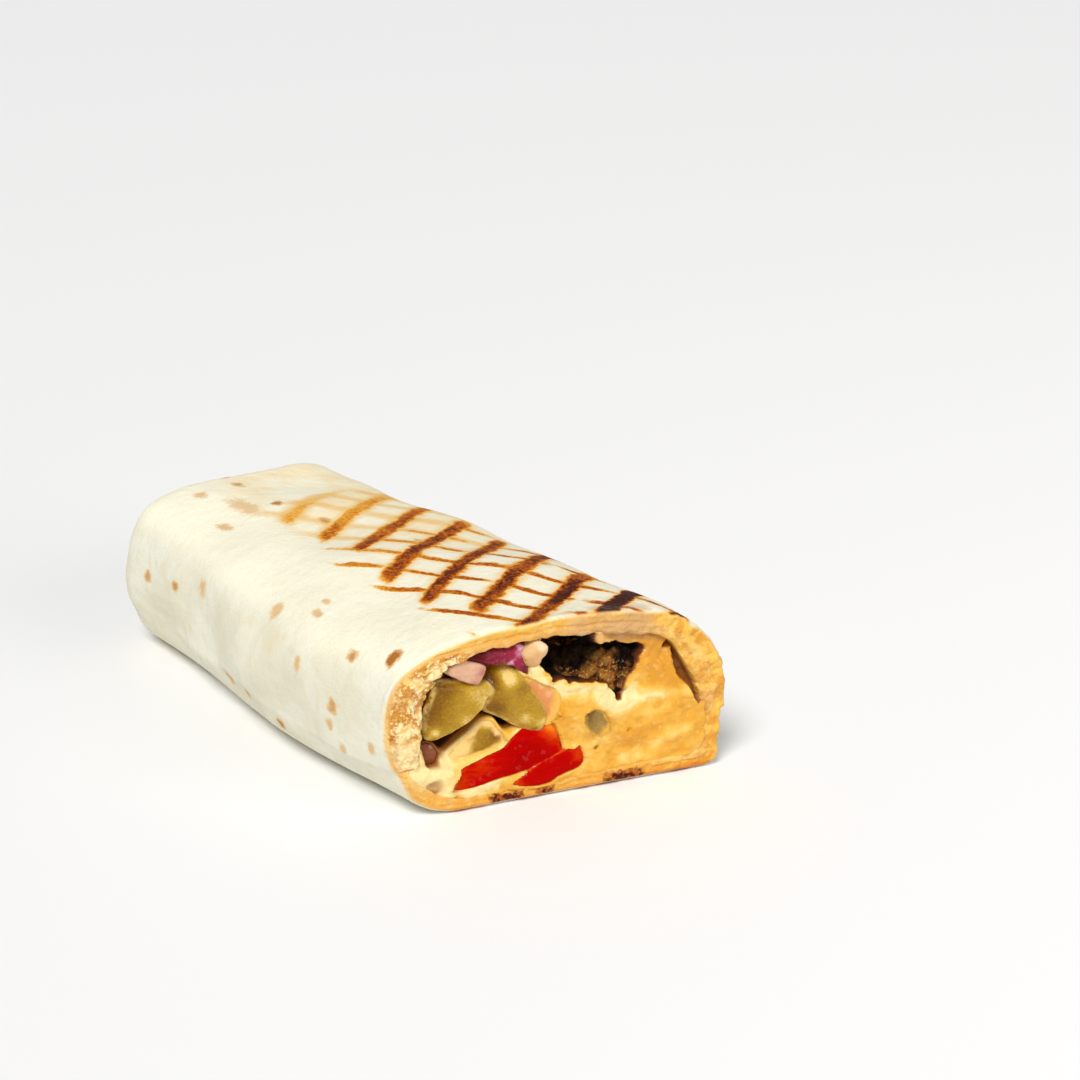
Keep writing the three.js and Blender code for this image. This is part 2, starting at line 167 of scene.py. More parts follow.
def bread_outside(t, y):
    """The bread's outside at station t and distance y: the outline at the cut turns into the outline at the
    folded end, and is moved in and out by dents, the step where the outer turn ends and a frayed cut edge."""
    station = closed_curve(ROLL, t)
    taper = smooth(y, TAPER_START, TAPER_END)
    x = across_roll(station[..., 0] + (station[..., 2] - station[..., 0]) * taper, y)
    z = np.maximum(0, station[..., 1] + (station[..., 3] - station[..., 1]) * taper)
    edge = FLAP_AT + 0.05 * np.sin(y / 6.5) + 0.03 * np.sin(y / 2.1)
    moved = FLAP * smooth(t, FLAP_FROM, FLAP_AT - 0.4) * (1 - smooth(t, edge - 0.04, edge + 0.03))
    moved += DENT * (np.sin(y / 7 + 1.9 * t) + np.sin(y / 4.3 - 1.1 * t)) * smooth(z, 2, 8)
    place = np.stack([x, y + 0 * x, z], -1)
    moved += 0.22 * rough(place * (1, 0.55, 1), 7, 11) * smooth(z, 0.6, 5)
    frayed = smooth(x, 12, 22) * smooth(z, 1, 4) * np.exp(-np.maximum(0, y - cut_y(station[..., 0])) / 2.5)
    moved += 0.5 * rough(place, 2.4, 13) * frayed
    out = np.stack([x, z - END_CENTRE_Z], -1)
    out = out / np.linalg.norm(out, axis=-1, keepdims=True) * moved[..., None]
    return np.stack([x + out[..., 0], y + 0 * x, np.maximum(0, z + out[..., 1])], -1)


COLUMNS = 34  # facets from one station to the next
stations = np.arange(len(ROLL) * COLUMNS) / COLUMNS
outside_length = LENGTH - RIM
cut_outline = closed_curve(ROLL[:, 0:2], stations)
pocket_outline = closed_curve(ROLL[:, 4:6], stations)

pocket_rings = []
u, z = pocket_outline.T
for turn in np.array([0.97, 0.8, 0.4, 0]) * np.pi / 2:
    shrink = 1 - POCKET_ROUND * (1 - np.cos(turn)) / END_CENTRE_Z
    depth = POCKET_END - POCKET_ROUND * (1 - np.sin(turn))
    pocket_rings.append(in_roll(u * shrink, END_CENTRE_Z + (z - END_CENTRE_Z) * shrink, depth - cut_y(u)))
for share in (0.82, 0.65, 0.5, 0.35, 0.2, 0.12, 0.07, 0.04, 0.02):
    pocket_rings.append(in_roll(u, z, share * (POCKET_END - POCKET_ROUND - cut_y(u))))

# The cut edge, from the pocket's wall to the skin. It keeps how far each point lies under the skin, because the
# relief and the colours follow that: a soft lip, an outer turn, the line between the turns, and the inner turn,
# which on the left is a thick spongy crumb that stops in a blunt end low on the wall.
LIP = 0.9
LIP_DEPTHS = np.array([1.05, 0.82, 0.6, 0.4, 0.24, 0.12, 0.04, 0])
EDGE_RINGS = 38
torn_in = 0.4 * rough(np.stack([u, z, 0 * u], -1), 2.4, 21) * smooth(-u, -30, -12)
torn_outline = pocket_outline * (1 + torn_in / np.linalg.norm(pocket_outline, axis=-1))[:, None]
outer_edge = bread_outside(stations, cut_y(cut_outline[:, 0]))
inner_edge = in_roll(torn_outline[:, 0], torn_outline[:, 1], 0)
wall = np.hypot(inner_edge[:, 0] - outer_edge[:, 0], inner_edge[:, 2] - outer_edge[:, 2])
inward = LIP_DEPTHS[0] + (wall - LIP_DEPTHS[0]) * np.linspace(1, 0, EDGE_RINGS + 1)[:-1, None]
under_skin = np.concatenate([inward, LIP_DEPTHS[:, None] + 0 * wall])
edge_share = under_skin / wall
edge_x = outer_edge[:, 0] + (inner_edge[:, 0] - outer_edge[:, 0]) * edge_share
edge_z = outer_edge[:, 2] + (inner_edge[:, 2] - outer_edge[:, 2]) * edge_share
edge_place = np.stack([edge_x, 0 * edge_x, edge_z], -1)
way_round = np.concatenate([[0], np.cumsum(np.linalg.norm(np.diff(outer_edge, axis=0), axis=1))])
sponge = np.stack([under_skin, 0.6 * way_round + 0 * under_skin, 0 * under_skin], -1)

line_at = np.minimum(0.62 * wall, 0.6 + 1.75 * smooth(edge_x, -26, -12)) + 0.25 * rough(edge_place, 5, 31)
line_open = 0.3 + 0.7 * smooth(rough(edge_place, 7, 33), -0.3, 0.5)
line_fades = 1 - 0.6 * smooth(edge_x, 8, 16) * smooth(edge_z, 3, 6)
between_turns = bell(under_skin - line_at, 0.32) * line_open * line_fades
blunt_end = 9.3 + 0.12 * (edge_x + 24) + 0.3 * rough(edge_place, 2, 35)
end_line = bell(edge_z - blunt_end, 0.3) * smooth(under_skin, 0.7, 1.3) * (edge_x < -18)
between_turns = np.maximum(between_turns, end_line)
crumb = smooth(under_skin, line_at, line_at + 0.6) * smooth(wall, 3.0, 4.4)
crumb *= np.where(edge_x < -10, smooth(edge_z, blunt_end, blunt_end + 0.3), 0.55)
pore = smooth(rough(sponge, 1.5, 41), 0.15, 0.8) * smooth(rough(sponge, 3.2, 43), -0.3, 0.4)
pore = np.maximum(pore, 0.6 * smooth(rough(sponge, 0.8, 45, 2), 0.2, 0.8))
pore *= crumb
lumps = 0.3 * rough(edge_place, 3.2, 51, 2) + 0.14 * rough(edge_place, 1.1, 53, 2) * (0.3 + crumb)
craggy = smooth(edge_x, 12, 22) * smooth(edge_z, 3, 8)
lumps += (0.4 * rough(edge_place, 4.0, 55, 2) + 0.9 * knobs(edge_place, 2.2, 57) ** 2 - 0.3) * craggy
edge_sink = lumps * smooth(under_skin, 0.2, 1.2) + 0.25 * between_turns + 0.55 * pore - 0.3 * crumb
edge_sink = edge_sink + LIP - np.sqrt(np.maximum(0, LIP**2 - np.maximum(0, LIP - under_skin) ** 2))
edge_sink += (0.05 + 0.7 * crumb) * smooth(edge_share, 0.85, 1) ** 2
edge_rings = np.stack([edge_x, -edge_x * np.tan(CUT_SLANT) + edge_sink, edge_z], -1)

SKIN_RINGS = 66
skin_share = np.linspace(0, 1, SKIN_RINGS + 1)[1:, None] ** 1.35
skin_start = cut_y(cut_outline[:, 0]) + LIP
skin_y = skin_start + (outside_length - skin_start) * skin_share
skin_rings = bread_outside(np.broadcast_to(stations, skin_y.shape), skin_y)


def end_ring(inset, share, y):
    """The folded end's outline drawn in by an inset and then shrunk to a share of itself."""
    ring = bread_outside(stations, np.full_like(stations, outside_length))
    ring[:, 0] *= share * (1 - inset / END_HALF_WIDTH)
    ring[:, 2] = END_CENTRE_Z + (ring[:, 2] - END_CENTRE_Z) * share * (1 - inset / END_CENTRE_Z)
    ring[:, 1] = y
    return ring


ROUND_RINGS, CAP_RINGS = 10, 20
end_rings = []
for turn in np.linspace(0, 1, ROUND_RINGS + 1)[1:] * np.pi / 2:
    end_rings.append(end_ring(RIM * (1 - np.cos(turn)), 1, outside_length + RIM * np.sin(turn)))
for share in np.linspace(1, 0, CAP_RINGS + 2)[1:-1]:
    arms = [0.3 + 0.45 * (stations / len(ROLL) + turn) for turn in (0, 1)]
    crease = sum(bell(share - arm, 0.07) for arm in arms) * smooth(share, 0.05, 0.3)
    ring = end_ring(RIM, share, LENGTH + END_BULGE * (1 - share) - FOLD * crease)
    ring[:, 1] += 0.25 * rough(ring, 5, 61) * smooth(1 - share, 0, 0.2)
    end_rings.append(ring)

bread_rings = np.concatenate([pocket_rings, edge_rings, skin_rings, end_rings])
pocket_pole = in_roll(0.0, END_CENTRE_Z, POCKET_END)
end_pole = np.array([0, LENGTH + END_BULGE, END_CENTRE_Z])

# The roll's own origin is on the cut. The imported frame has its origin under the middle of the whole, so the
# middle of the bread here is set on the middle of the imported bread.
cad_low, cad_high = (np.array(corner) * 1000 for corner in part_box("flatbread"))
bread_low, bread_high = bread_rings.min((0, 1)), bread_rings.max((0, 1))
to_frame = (cad_low + cad_high - bread_low - bread_high) / 2
to_frame[2] = 0


def ring_mesh(name, first, rings, last, **attributes):
    """A closed mesh over rings of points, shrunk to a point at either end: quads from ring to ring and a fan
    of triangles at each pole. Each attribute gives one number to each ring point."""
    count = rings.shape[1]
    points = np.concatenate([[first], rings.reshape(-1, 3), [last]])
    column = np.arange(count)
    after = (column + 1) % count
    row = 1 + count * np.arange(len(rings) - 1)[:, None]
    quads = np.stack([row + column, row + after, row + count + after, row + count + column], -1).reshape(-1, 4)
    final = 1 + count * (len(rings) - 1)
    fans = np.concatenate([
        np.stack([0 * column, 1 + after, 1 + column], -1),
        np.stack([0 * column + len(points) - 1, final + column, final + after], -1),
    ])
    corners = [points[quads[:, k]] for k in (0, 1, 2)]
    if np.einsum("ij,ij->", corners[0], np.cross(corners[1], corners[2])) < 0:
        quads, fans = quads[:, ::-1], fans[:, ::-1]
    mesh = bpy.data.meshes.new(name)
    mesh.vertices.add(len(points))
    mesh.vertices.foreach_set("co", ((points + to_frame) / 1000).ravel())
    mesh.loops.add(quads.size + fans.size)
    mesh.loops.foreach_set("vertex_index", np.concatenate([quads.ravel(), fans.ravel()]))
    mesh.polygons.add(len(quads) + len(fans))
    starts = np.concatenate([4 * np.arange(len(quads)), quads.size + 3 * np.arange(len(fans))])
    mesh.polygons.foreach_set("loop_start", starts)
    mesh.update(calc_edges=True)
    mesh.validate()
    mesh.shade_smooth()
    for label, values in attributes.items():
        inner = np.broadcast_to(values, rings.shape[:2]).ravel()
        layer = mesh.attributes.new(label, "FLOAT", "POINT")
        layer.data.foreach_set("value", np.concatenate([inner[:1], inner, inner[-1:]]).astype(np.float32))
    piece = bpy.data.objects.new(name, mesh)
    bpy.context.scene.collection.objects.link(piece)
    return piece


def on_rings(rings, first, values, before=0):
    """One number for every ring point: the values on the rings from the first on, before that the number or
    ring of numbers given, and 0 after."""
    everywhere = np.zeros(rings.shape[:2])
    everywhere[:first] = before
    everywhere[first : first + len(values)] = values
    return everywhere


edge_facts = {
    "cut": (smooth(under_skin, 0, 0.6), 1),
    "under_skin": (under_skin, wall),
    "pore": (pore, 0),
    "line": (between_turns, 0),
    "crumb": (crumb, 0),
    # the pocket's rings, which are painted dark as painted shade
    "inner": (0 * crumb, 1),
}
edge_facts = {label: on_rings(bread_rings, len(pocket_rings), *facts) for label, facts in edge_facts.items()}
flatbread = ring_mesh("flatbread_roll", pocket_pole, bread_rings, end_pole, **edge_facts)


class Shade:
    """A socket of a material, so that shader maths is written as expressions on it."""

    def __init__(self, finish, socket):
        self.finish = finish
        self.socket = socket

    def math(self, operation, *values):
        return self.finish.node("Math", {"operation": operation}, dict(enumerate(values)))

    def __add__(self, other):
        return self.math("ADD", self, other)

    def __sub__(self, other):
        return self.math("SUBTRACT", self, other)

    def __rsub__(self, other):
        return self.math("SUBTRACT", other, self)

    def __mul__(self, other):
        return self.math("MULTIPLY", self, other)

    def __truediv__(self, other):
        return self.math("DIVIDE", self, other)

    __radd__ = __add__
    __rmul__ = __mul__

    def largest(self, other):
        return self.math("MAXIMUM", self, other)

    def wave(self, length):
        """Distance from the nearest of a row of lines this length apart."""
        return self.math("PINGPONG", self, length / 2)

    def rise(self, low, high):
        """0 below low, 1 above high, smooth between."""
        settings = {"interpolation_type": "SMOOTHSTEP"}
        return self.finish.node("MapRange", settings, {"Value": self, "From Min": low, "From Max": high})

    def fall(self, low, high):
        """1 below low, 0 above high, smooth between."""
        return 1 - self.rise(low, high)


def tint(colour):
    """A colour given as three picture numbers from 0 to 255, in the linear values that a shader takes; a link
    stays as it is."""
    if isinstance(colour, Shade):
        return colour
    share = np.array(colour) / 255
    linear = np.where(share <= 0.04045, share / 12.92, ((share + 0.055) / 1.055) ** 2.4)
    return (*linear.tolist(), 1.0)


class Finish:
    """A material on the Principled shader, with one method that makes every other node."""

    def __init__(self, name):
        self.material = bpy.data.materials.new(name)
        self.material.use_nodes = True
        self.tree = self.material.node_tree
        self.shader = self.tree.nodes["Principled BSDF"]

    def node(self, kind, settings, values, output=0):
        """One node: its settings first, then its sockets by name or number, each a value or a link."""
        node = self.tree.nodes.new("ShaderNode" + kind)
        for key, value in settings.items():
            if key == "stops":
                while len(node.color_ramp.elements) < len(value):
                    node.color_ramp.elements.new(1)
                for element, (place, colour) in zip(node.color_ramp.elements, value):
                    element.position = place
                    element.color = colour
            else:
                setattr(node, key, value)
        self.fill(node, values)
        return Shade(self, node.outputs[output])

    def fill(self, node, values):
        """Sockets of a node, each set to a value or linked."""
        for key, value in values.items():
            if isinstance(value, Shade):
                self.tree.links.new(value.socket, node.inputs[key])
            else:
                node.inputs[key].default_value = value

    def attribute(self, name):
        return self.node("Attribute", {"attribute_name": name}, {}, "Fac")

    def place(self):
        """Object coordinates, in metres."""
        return self.node("TexCoord", {}, {}, "Object")

    def axis(self, name):
        return self.node("SeparateXYZ", {}, {0: self.place()}, name)

    def cloud(self, size, detail=3, stretch=(1, 1, 1)):
        """Noise from 0 to 1 with blotches of about this size in millimetres."""
        turned = self.node("Mapping", {}, {"Vector": self.place(), "Scale": stretch})
        return self.node("TexNoise", {}, {"Vector": turned, "Scale": 1000 / size, "Detail": detail})

    def layers(self, colour, *over):
        """Colours laid over the first, each after its factor: 0 where it is clear, 1 where it covers."""
        for factor, next_colour in over:
            values = {0: factor, 6: tint(colour), 7: tint(next_colour)}
            colour = self.node("Mix", {"data_type": "RGBA"}, values, 2)
        return colour

    def ramp(self, factor, *stops):
        """A colour that runs through the stops, each a place from 0 to 1 and a colour."""
        return self.node("ValToRGB", {"stops": [(place, tint(colour)) for place, colour in stops]}, {0: factor})

    def wobble(self, size, amount, **how):
        """Noise like cloud's that goes up and down by half the amount."""
        return (self.cloud(size, **how) - 0.5) * amount

    def bump(self, height, distance, under=None):
        """A bump of this height in millimetres, over another bump if one is given."""
        values = {"Height": height, "Distance": distance / 1000}
        if under is not None:
            values["Normal"] = under
        return self.node("Bump", {}, values)

    def surface(self, colour, roughness, normal, specular, scatter=(), coat=()):
        """The shader's own sockets. Scatter is the subsurface weight, radius and scale, and coat the coat's
        weight and roughness."""
        self.fill(self.shader, {
            "Base Color": colour, "Roughness": roughness, "Normal": normal, "Specular IOR Level": specular,
            **dict(zip(("Subsurface Weight", "Subsurface Radius", "Subsurface Scale"), scatter)),
            **dict(zip(("Coat Weight", "Coat Roughness"), coat)),
        })


def bread_spots(finish, spots):
    """Irregular spots of given places, sizes and strengths: the distance from each centre in its own sizes,
    shifted by noise, fades to nothing, and the strongest spot at each point counts."""
    wander = finish.wobble(1.2, 1.6) + finish.wobble(0.4, 0.5)
    strongest = None
    for t, y, size_across, size_along, strength in spots:
        centre = (bread_outside(np.array([t]), np.array([float(y)]))[0] + to_frame) / 1000
        stretch = 1000 / np.array([size_across, size_along, size_across])
        sizes = {"Vector": finish.place(), "Location": -centre * stretch, "Scale": stretch}
        nearby = finish.node("Mapping", {}, sizes)
        away = finish.node("VectorMath", {"operation": "LENGTH"}, {0: nearby}, "Value")
        spot = (away + wander).fall(0.4, 1.7) * strength
        strongest = spot if strongest is None else strongest.largest(spot)
    return strongest


# Toasted spots on the side towards the camera, each a station, a distance from the cut, a size across and
# along, and a strength. The hidden sides have random ones.
SEEN_SPOTS = [
    (4.2, 91, 1.1, 1.3, 0.7), (4.5, 79, 0.9, 1.1, 0.8), (4.95, 69, 1.4, 1.2, 0.45), (5.7, 44, 1.5, 1.3, 0.45),
    (6.1, 34.5, 0.8, 1.2, 0.5), (6.4, 36, 0.6, 1, 0.45), (5.55, 20.8, 1, 1, 0.8), (5.9, 12.4, 1.6, 1, 1.2),
    (4.8, 31.4, 1.3, 0.9, 0.5), (2.1, 59.5, 1.4, 1.1, 0.7), (2.05, 53, 1.3, 1, 0.8), (1.7, 40.8, 1.2, 1, 0.9),
    (4.1, 22.3, 1.3, 1, 0.7), (3.55, 23.3, 1, 0.8, 0.5), (2.85, 20.4, 1.2, 0.9, 0.45),
    (3.45, 12.7, 1.3, 0.9, 0.45), (6.7, 78, 0.9, 2.2, 0.5), (7.2, 92.7, 1.2, 1.4, 0.45),
    (8.0, 78.5, 0.9, 1.3, 0.9), (7.5, 82, 1.8, 5.0, 0.4),
]

# Grill marks: wide bars turned 29.5 degrees from across the roll and 10.1 mm apart, and thin lines square to
# them and 6.6 mm apart, on the flat pressed top and the underside.
GRILL_TURN = np.radians(29.5)
BAR_PITCH, BAR_AT, BAR_HALF = 10.1, 4.3, 1.45
LINE_PITCH, LINE_AT, LINE_HALF = 6.6, 3.0, 0.62

bread = Finish("bread")
x = bread.axis("X") * 1000 - to_frame[0]
y = bread.axis("Y") * 1000 - to_frame[1]
z = bread.axis("Z") * 1000
cut = bread.attribute("cut")
under = bread.attribute("under_skin")
holes = bread.attribute("pore")
turns = bread.attribute("line")
crumbed = bread.attribute("crumb")

ragged = bread.wobble(1.3, 1.5)
along_bars = x * -np.sin(GRILL_TURN) + y * np.cos(GRILL_TURN) + bread.wobble(12, 2.5)
across_bars = x * np.cos(GRILL_TURN) + y * np.sin(GRILL_TURN) + bread.wobble(10, 3.0)
from_bar = (along_bars - BAR_AT + ragged).wave(BAR_PITCH)
from_line = (across_bars - LINE_AT + ragged * 0.4).wave(LINE_PITCH)
bar_number = along_bars.math("ROUND", (along_bars - BAR_AT) / BAR_PITCH)
this_bar = bread.node("TexWhiteNoise", {"noise_dimensions": "1D"}, {"W": bar_number})  # from 0 to 1
bars = (from_bar + bread.wobble(5, 2.2)).fall(BAR_HALF - 0.8, BAR_HALF + 0.7)
glow = from_bar.fall(1.0, 3.4)
fine_lines = (from_line + bread.wobble(5, 1.1)).fall(LINE_HALF - 0.35, LINE_HALF + 0.45)
reach = x + (this_bar - 0.5) * 5 - y.rise(48, 64) * 4
pressed_top = z.rise(26.3, 28.4) * (x + (this_bar - 0.5) * 5).fall(17, 22) * y.fall(76, 80)
pressed_foot = z.fall(0.05, 0.5) * x.rise(-20, -15) * x.fall(22, 26)
bar_region = (pressed_top * reach.rise(-12.5, -9)).largest(pressed_foot) * (1 - cut)
line_region = (pressed_top * x.rise(-16, -13)).largest(pressed_foot) * (1 - cut) * y.fall(44, 60)
# Painted shadow: the bars near the cut at the top right are painted darker, partly a deeper burn and partly the
# painted shadow that the wrap's other half casts there.
deep_burn = x.rise(2, 9) * y.fall(4, 14) * z.rise(26, 28)
bar_strength = 0.72 + bread.cloud(5).rise(0.4, 0.62) * 0.35 + deep_burn
bar_burn = bars * bar_region * (1 - y.rise(40, 82) * 0.85) * bar_strength
line_burn = fine_lines * line_region * bread.cloud(8).rise(0.3, 0.52) * (0.7 - y.rise(15, 45) * 0.25)
burn = bar_burn.largest(line_burn) * (0.1 + bread.cloud(0.6, 4) * 1.35)

# Toasted spots: those seen, and on the far side and the end one in each cell, where the cell's draw is high.
cell = {"Vector": bread.node("Mapping", {}, {"Vector": bread.place(), "Scale": (1, 0.7, 1)}), "Scale": 125}
from_middle = bread.node("TexVoronoi", {}, cell)
draw = bread.node("SeparateColor", {}, {0: bread.node("TexVoronoi", {}, cell, "Color")}, "Red")
random_spots = (from_middle * 9 + bread.wobble(1.2, 2)).fall(0.3, 2.0) * draw.rise(0.1, 0.9)
random_spots = random_spots * x.rise(-14, -2).largest(y.rise(97, 103)) * 0.9
toasted = bread_spots(bread, SEEN_SPOTS).largest(random_spots)

# The skin: floury, painted lighter on top as painted light from above, baked towards the far end, golden
# between the marks and glazed with juice near the cut.
baked = z.rise(25, 28) * x.rise(-12, 0) * y.rise(30, 60) * y.fall(94, 102) * bread.cloud(12).rise(0.36, 0.6)
golden = pressed_top * x.rise(-12, -7) * y.rise(20, 40) * from_line.fall(0.3, 2.2) * (1 - cut)
juice = (y + x * np.tan(CUT_SLANT)).fall(1.5, 5) * x.rise(-4, 4) * x.fall(15, 20) * z.rise(26, 28)
juice = juice * bread.cloud(4).rise(0.36, 0.52) * (1 - cut)
streaks = bread.cloud(3, stretch=(1, 0.8, 0.3)).rise(0.52, 0.7) * z.fall(24, 27)
scorch = bread.ramp(burn, (0.0, (248, 216, 136)), (0.22, (232, 160, 48)), (0.45, (192, 98, 8)),
                    (0.72, (118, 44, 0)), (1.0, (64, 20, 0)))
grilled = bread.layers(
    (235, 232, 213),
    (bread.cloud(14).rise(0.35, 0.65), (226, 221, 197)),
    (bread.cloud(2.2).rise(0.5, 0.75) * 0.4, (226, 214, 176)),
    (streaks * 0.45, (218, 214, 186)),
    (bread.cloud(9, stretch=(1, 0.35, 1)).rise(0.54, 0.75) * 0.3, (240, 220, 170)),
    # Painted light: the top is painted lighter, as light from above falls on it.
    (z.rise(23, 27.5) * (0.6 + y.rise(30, 80) * 0.3), (254, 248, 222)),
    (baked * 0.6, (248, 220, 166)),
    (glow * bar_region * 0.8, (238, 190, 104)),
    (golden * 0.7, (240, 194, 108)),
    (juice * 0.7, (222, 190, 146)),
    (toasted.rise(0.0, 0.5) * 0.75, (220, 172, 96)),
    (toasted.rise(0.4, 1.1), (178, 108, 44)),
    (burn.rise(0.02, 0.22), scorch),
)

# The cut: a crumb that is browned in blotches and painted darker in its pores as painted shade, and dough that
# runs from pale under the skin to golden, wet over the meat, scorched along the foot in three spots and painted
# dark inside the pocket as painted shade.
browned = (bread.cloud(2.6) - under.rise(1.0, 4.0) * 0.1).rise(0.36, 0.46) * bread.cloud(0.5).rise(0.34, 0.54)
low_crumb = z.fall(13, 15.5)
crumb_colour = bread.layers(
    (250, 230, 176),
    (bread.cloud(2.0).rise(0.38, 0.62), (238, 202, 120)),
    (bread.cloud(0.6).rise(0.5, 0.66) * 0.5, (222, 168, 90)),
    # Painted shade: the pores are painted a darker brown, as shade falls in them.
    (holes.rise(0.15, 0.9) * 0.8, (206, 140, 60)),
    (low_crumb * 0.6, (250, 226, 172)),
    (browned * (0.9 - low_crumb * 0.65), (198, 128, 38)),
)
edge_line = under.rise(0.7, 1.1) * under.fall(1.2, 1.7) * x.fall(-14, -6) * z.rise(4, 8)
blotched = bread.layers((243, 194, 88), (bread.cloud(2.2).rise(0.42, 0.6), (218, 148, 46)))
seam = turns * 0.5 * (1 - x.rise(8, 16) * z.rise(3, 6)) * (1 - z.rise(24, 27) * 0.6)
wet = x.rise(-2, 5) * x.fall(13, 20) * z.rise(25, 28) * bread.cloud(5).rise(0.3, 0.55)
dough = bread.layers(
    bread.ramp(under / 5, (0.0, (246, 232, 188)), (0.08, (242, 208, 128)), (0.2, (232, 180, 78)),
               (0.36, (230, 172, 70)), (0.5, (226, 170, 88)), (0.8, (226, 166, 76))),
    (z.fall(3, 12) * 0.6, (232, 164, 56)),
    (bread.cloud(1.6).rise(0.45, 0.7) * 0.4, (246, 212, 138)),
    (x.fall(-23, -12) * z.rise(2, 8) * 0.75, (242, 206, 134)),
    (edge_line * 0.6, (230, 174, 80)),
    (x.rise(10, 20) * 0.75, blotched),
    (crumbed * (1 - x.rise(0, 10) * 0.6), crumb_colour),
    (seam, (206, 134, 50)),
    (wet * 0.75, (204, 160, 112)),
    (z.fall(0.2, 1.4) * (0.6 + x.rise(5, 12) * 0.3), (196, 104, 22)),
)
for left, right, high in ((-12.8, -6.2, 2.4), (-4.6, -0.8, 1.9), (7.4, 14.8, 2.6)):
    ragged_x = x + bread.wobble(1.5, 3)
    scorched = ragged_x.rise(left, left + 1.4) * ragged_x.fall(right - 1.4, right)
    scorched *= (z + bread.wobble(1.2, 2.4)).fall(high - 1.2, high)
    charred = scorched * bread.cloud(0.7).rise(0.42, 0.54)
    dough = bread.layers(dough, (scorched, (170, 84, 20)), (charred, (74, 18, 2)))
# Painted shade: the pocket's wall, seen in the gaps, is painted dark brown.
dough = bread.layers(dough, (bread.attribute("inner") * 0.85, (130, 72, 22)))

grain = bread.bump(bread.cloud(0.45, 2), 0.12)
grain = bread.bump(bread.cloud(2.6), 0.35, under=grain)
crust = bread.bump(burn * (0.4 + bread.cloud(0.8)), 0.25, under=grain)
porous = bread.bump(bread.cloud(0.8) * cut, 0.35, under=crust)
bread.surface(bread.layers(grilled, (cut, dough)), 0.72 - burn * 0.06 - juice * 0.4, porous, 0.2,
              scatter=(0.12, (0.004, 0.002, 0.001), 0.5))
flatbread.data.materials.append(bread.material)
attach(flatbread, "root")
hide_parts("flatbread")


# ---- Hummus ----
# A thick chickpea paste with sauce in it, spooned in before rolling. It is flush with the cut on the right and
# at the foot, lies deeper round the pickles, and is torn open over the meat, with a thin lip round the hollow.
# The corners of that hollow, and of the gap along the right wall, are measured along the cut and upwards.
HOLLOW_U, HOLLOW_Z, HOLLOW_DEPTH = -14.5, 16.5, 5  # an oval hollow round the pickles
HOLLOW_WIDE, HOLLOW_HIGH = 9.5, 8
CAVITY = [
    (-3.4, 24.0), (-2.3, 21.5), (-1.2, 20.6), (0.7, 20.6), (1.9, 19.5), (6.5, 19.6), (8.4, 18.1), (9.6, 16.8),
    (10.1, 15.2), (11.1, 15.3), (12, 16.8), (13, 18.9), (14.4, 20.2), (15, 22.1), (16.4, 23.3), (16.1, 24.1),
    (13.3, 25.1), (11.4, 25.8), (9.5, 25.9), (7, 26.3), (6.7, 27.2), (7.1, 28.2), (5.6, 30), (-3.2, 30), (-3, 27),
]
CAVITY_DEPTH = 14
WALL_GAP = [
    (19.1, 25.2), (19.5, 23.2), (20.9, 22.7), (21.4, 21.6), (21, 20.1), (21.3, 18.3), (23.3, 15.4), (24.2, 13.6),
    (25.4, 12.2), (28, 13), (26, 19), (21, 27),
]
WALL_GAP_DEPTH = 1.8


def inside(corners, u, z):
    """How far points lie inside an outline: the distance to the nearest edge, negative outside. A point is
    inside where a level line from it crosses the edges an odd number of times."""
    nearest = np.full(np.shape(u), 1e9)
    odd = np.zeros(np.shape(u), bool)
    for (u0, z0), (u1, z1) in zip(corners, np.roll(corners, -1, 0)):
        du, dz = u1 - u0, z1 - z0
        share = np.clip(((u - u0) * du + (z - z0) * dz) / (du * du + dz * dz), 0, 1)
        nearest = np.minimum(nearest, np.hypot(u - u0 - share * du, z - z0 - share * dz))
        crosses = (z0 > z) != (z1 > z)
        odd ^= crosses & (u < u0 + (z - z0) * du / (dz if abs(dz) > 1e-9 else 1e-9))
    return np.where(odd, nearest, -nearest)


def softened(corners, shares=(0.14, 0.25)):
    """An outline with every corner cut off at a share of its edges, once for each share."""
    points = np.array(corners, float)
    for share in shares:
        after = np.roll(points, -1, 0)
        near, far = points * (1 - share) + after * share, points * share + after * (1 - share)
        points = np.stack([near, far], 1).reshape(-1, 2)
    return points


def slope(u, z, middle, cuts):
    """How far a face falls back behind its front: each cut is a direction in degrees, a distance from the
    middle at which it starts, and a steepness, and the steepest cut at each point counts. The bend is rounded:
    past the start s the fall is half of s plus the root of s squared and a small square."""
    fall = 0
    for direction, start, steepness in cuts:
        across = (u - middle[0]) * np.cos(np.radians(direction)) + (z - middle[1]) * np.sin(np.radians(direction))
        fall = np.maximum(fall, steepness / 2 * (across - start + np.hypot(across - start, 0.5)))
    return fall


def soft_spots(u, z, spots):
    """Bell-shaped spots added up, each a place, a radius and a strength."""
    return sum(strength * np.exp(-((u - at_u) ** 2 + (z - at_z) ** 2) / radius**2)
               for at_u, at_z, radius, strength in spots)
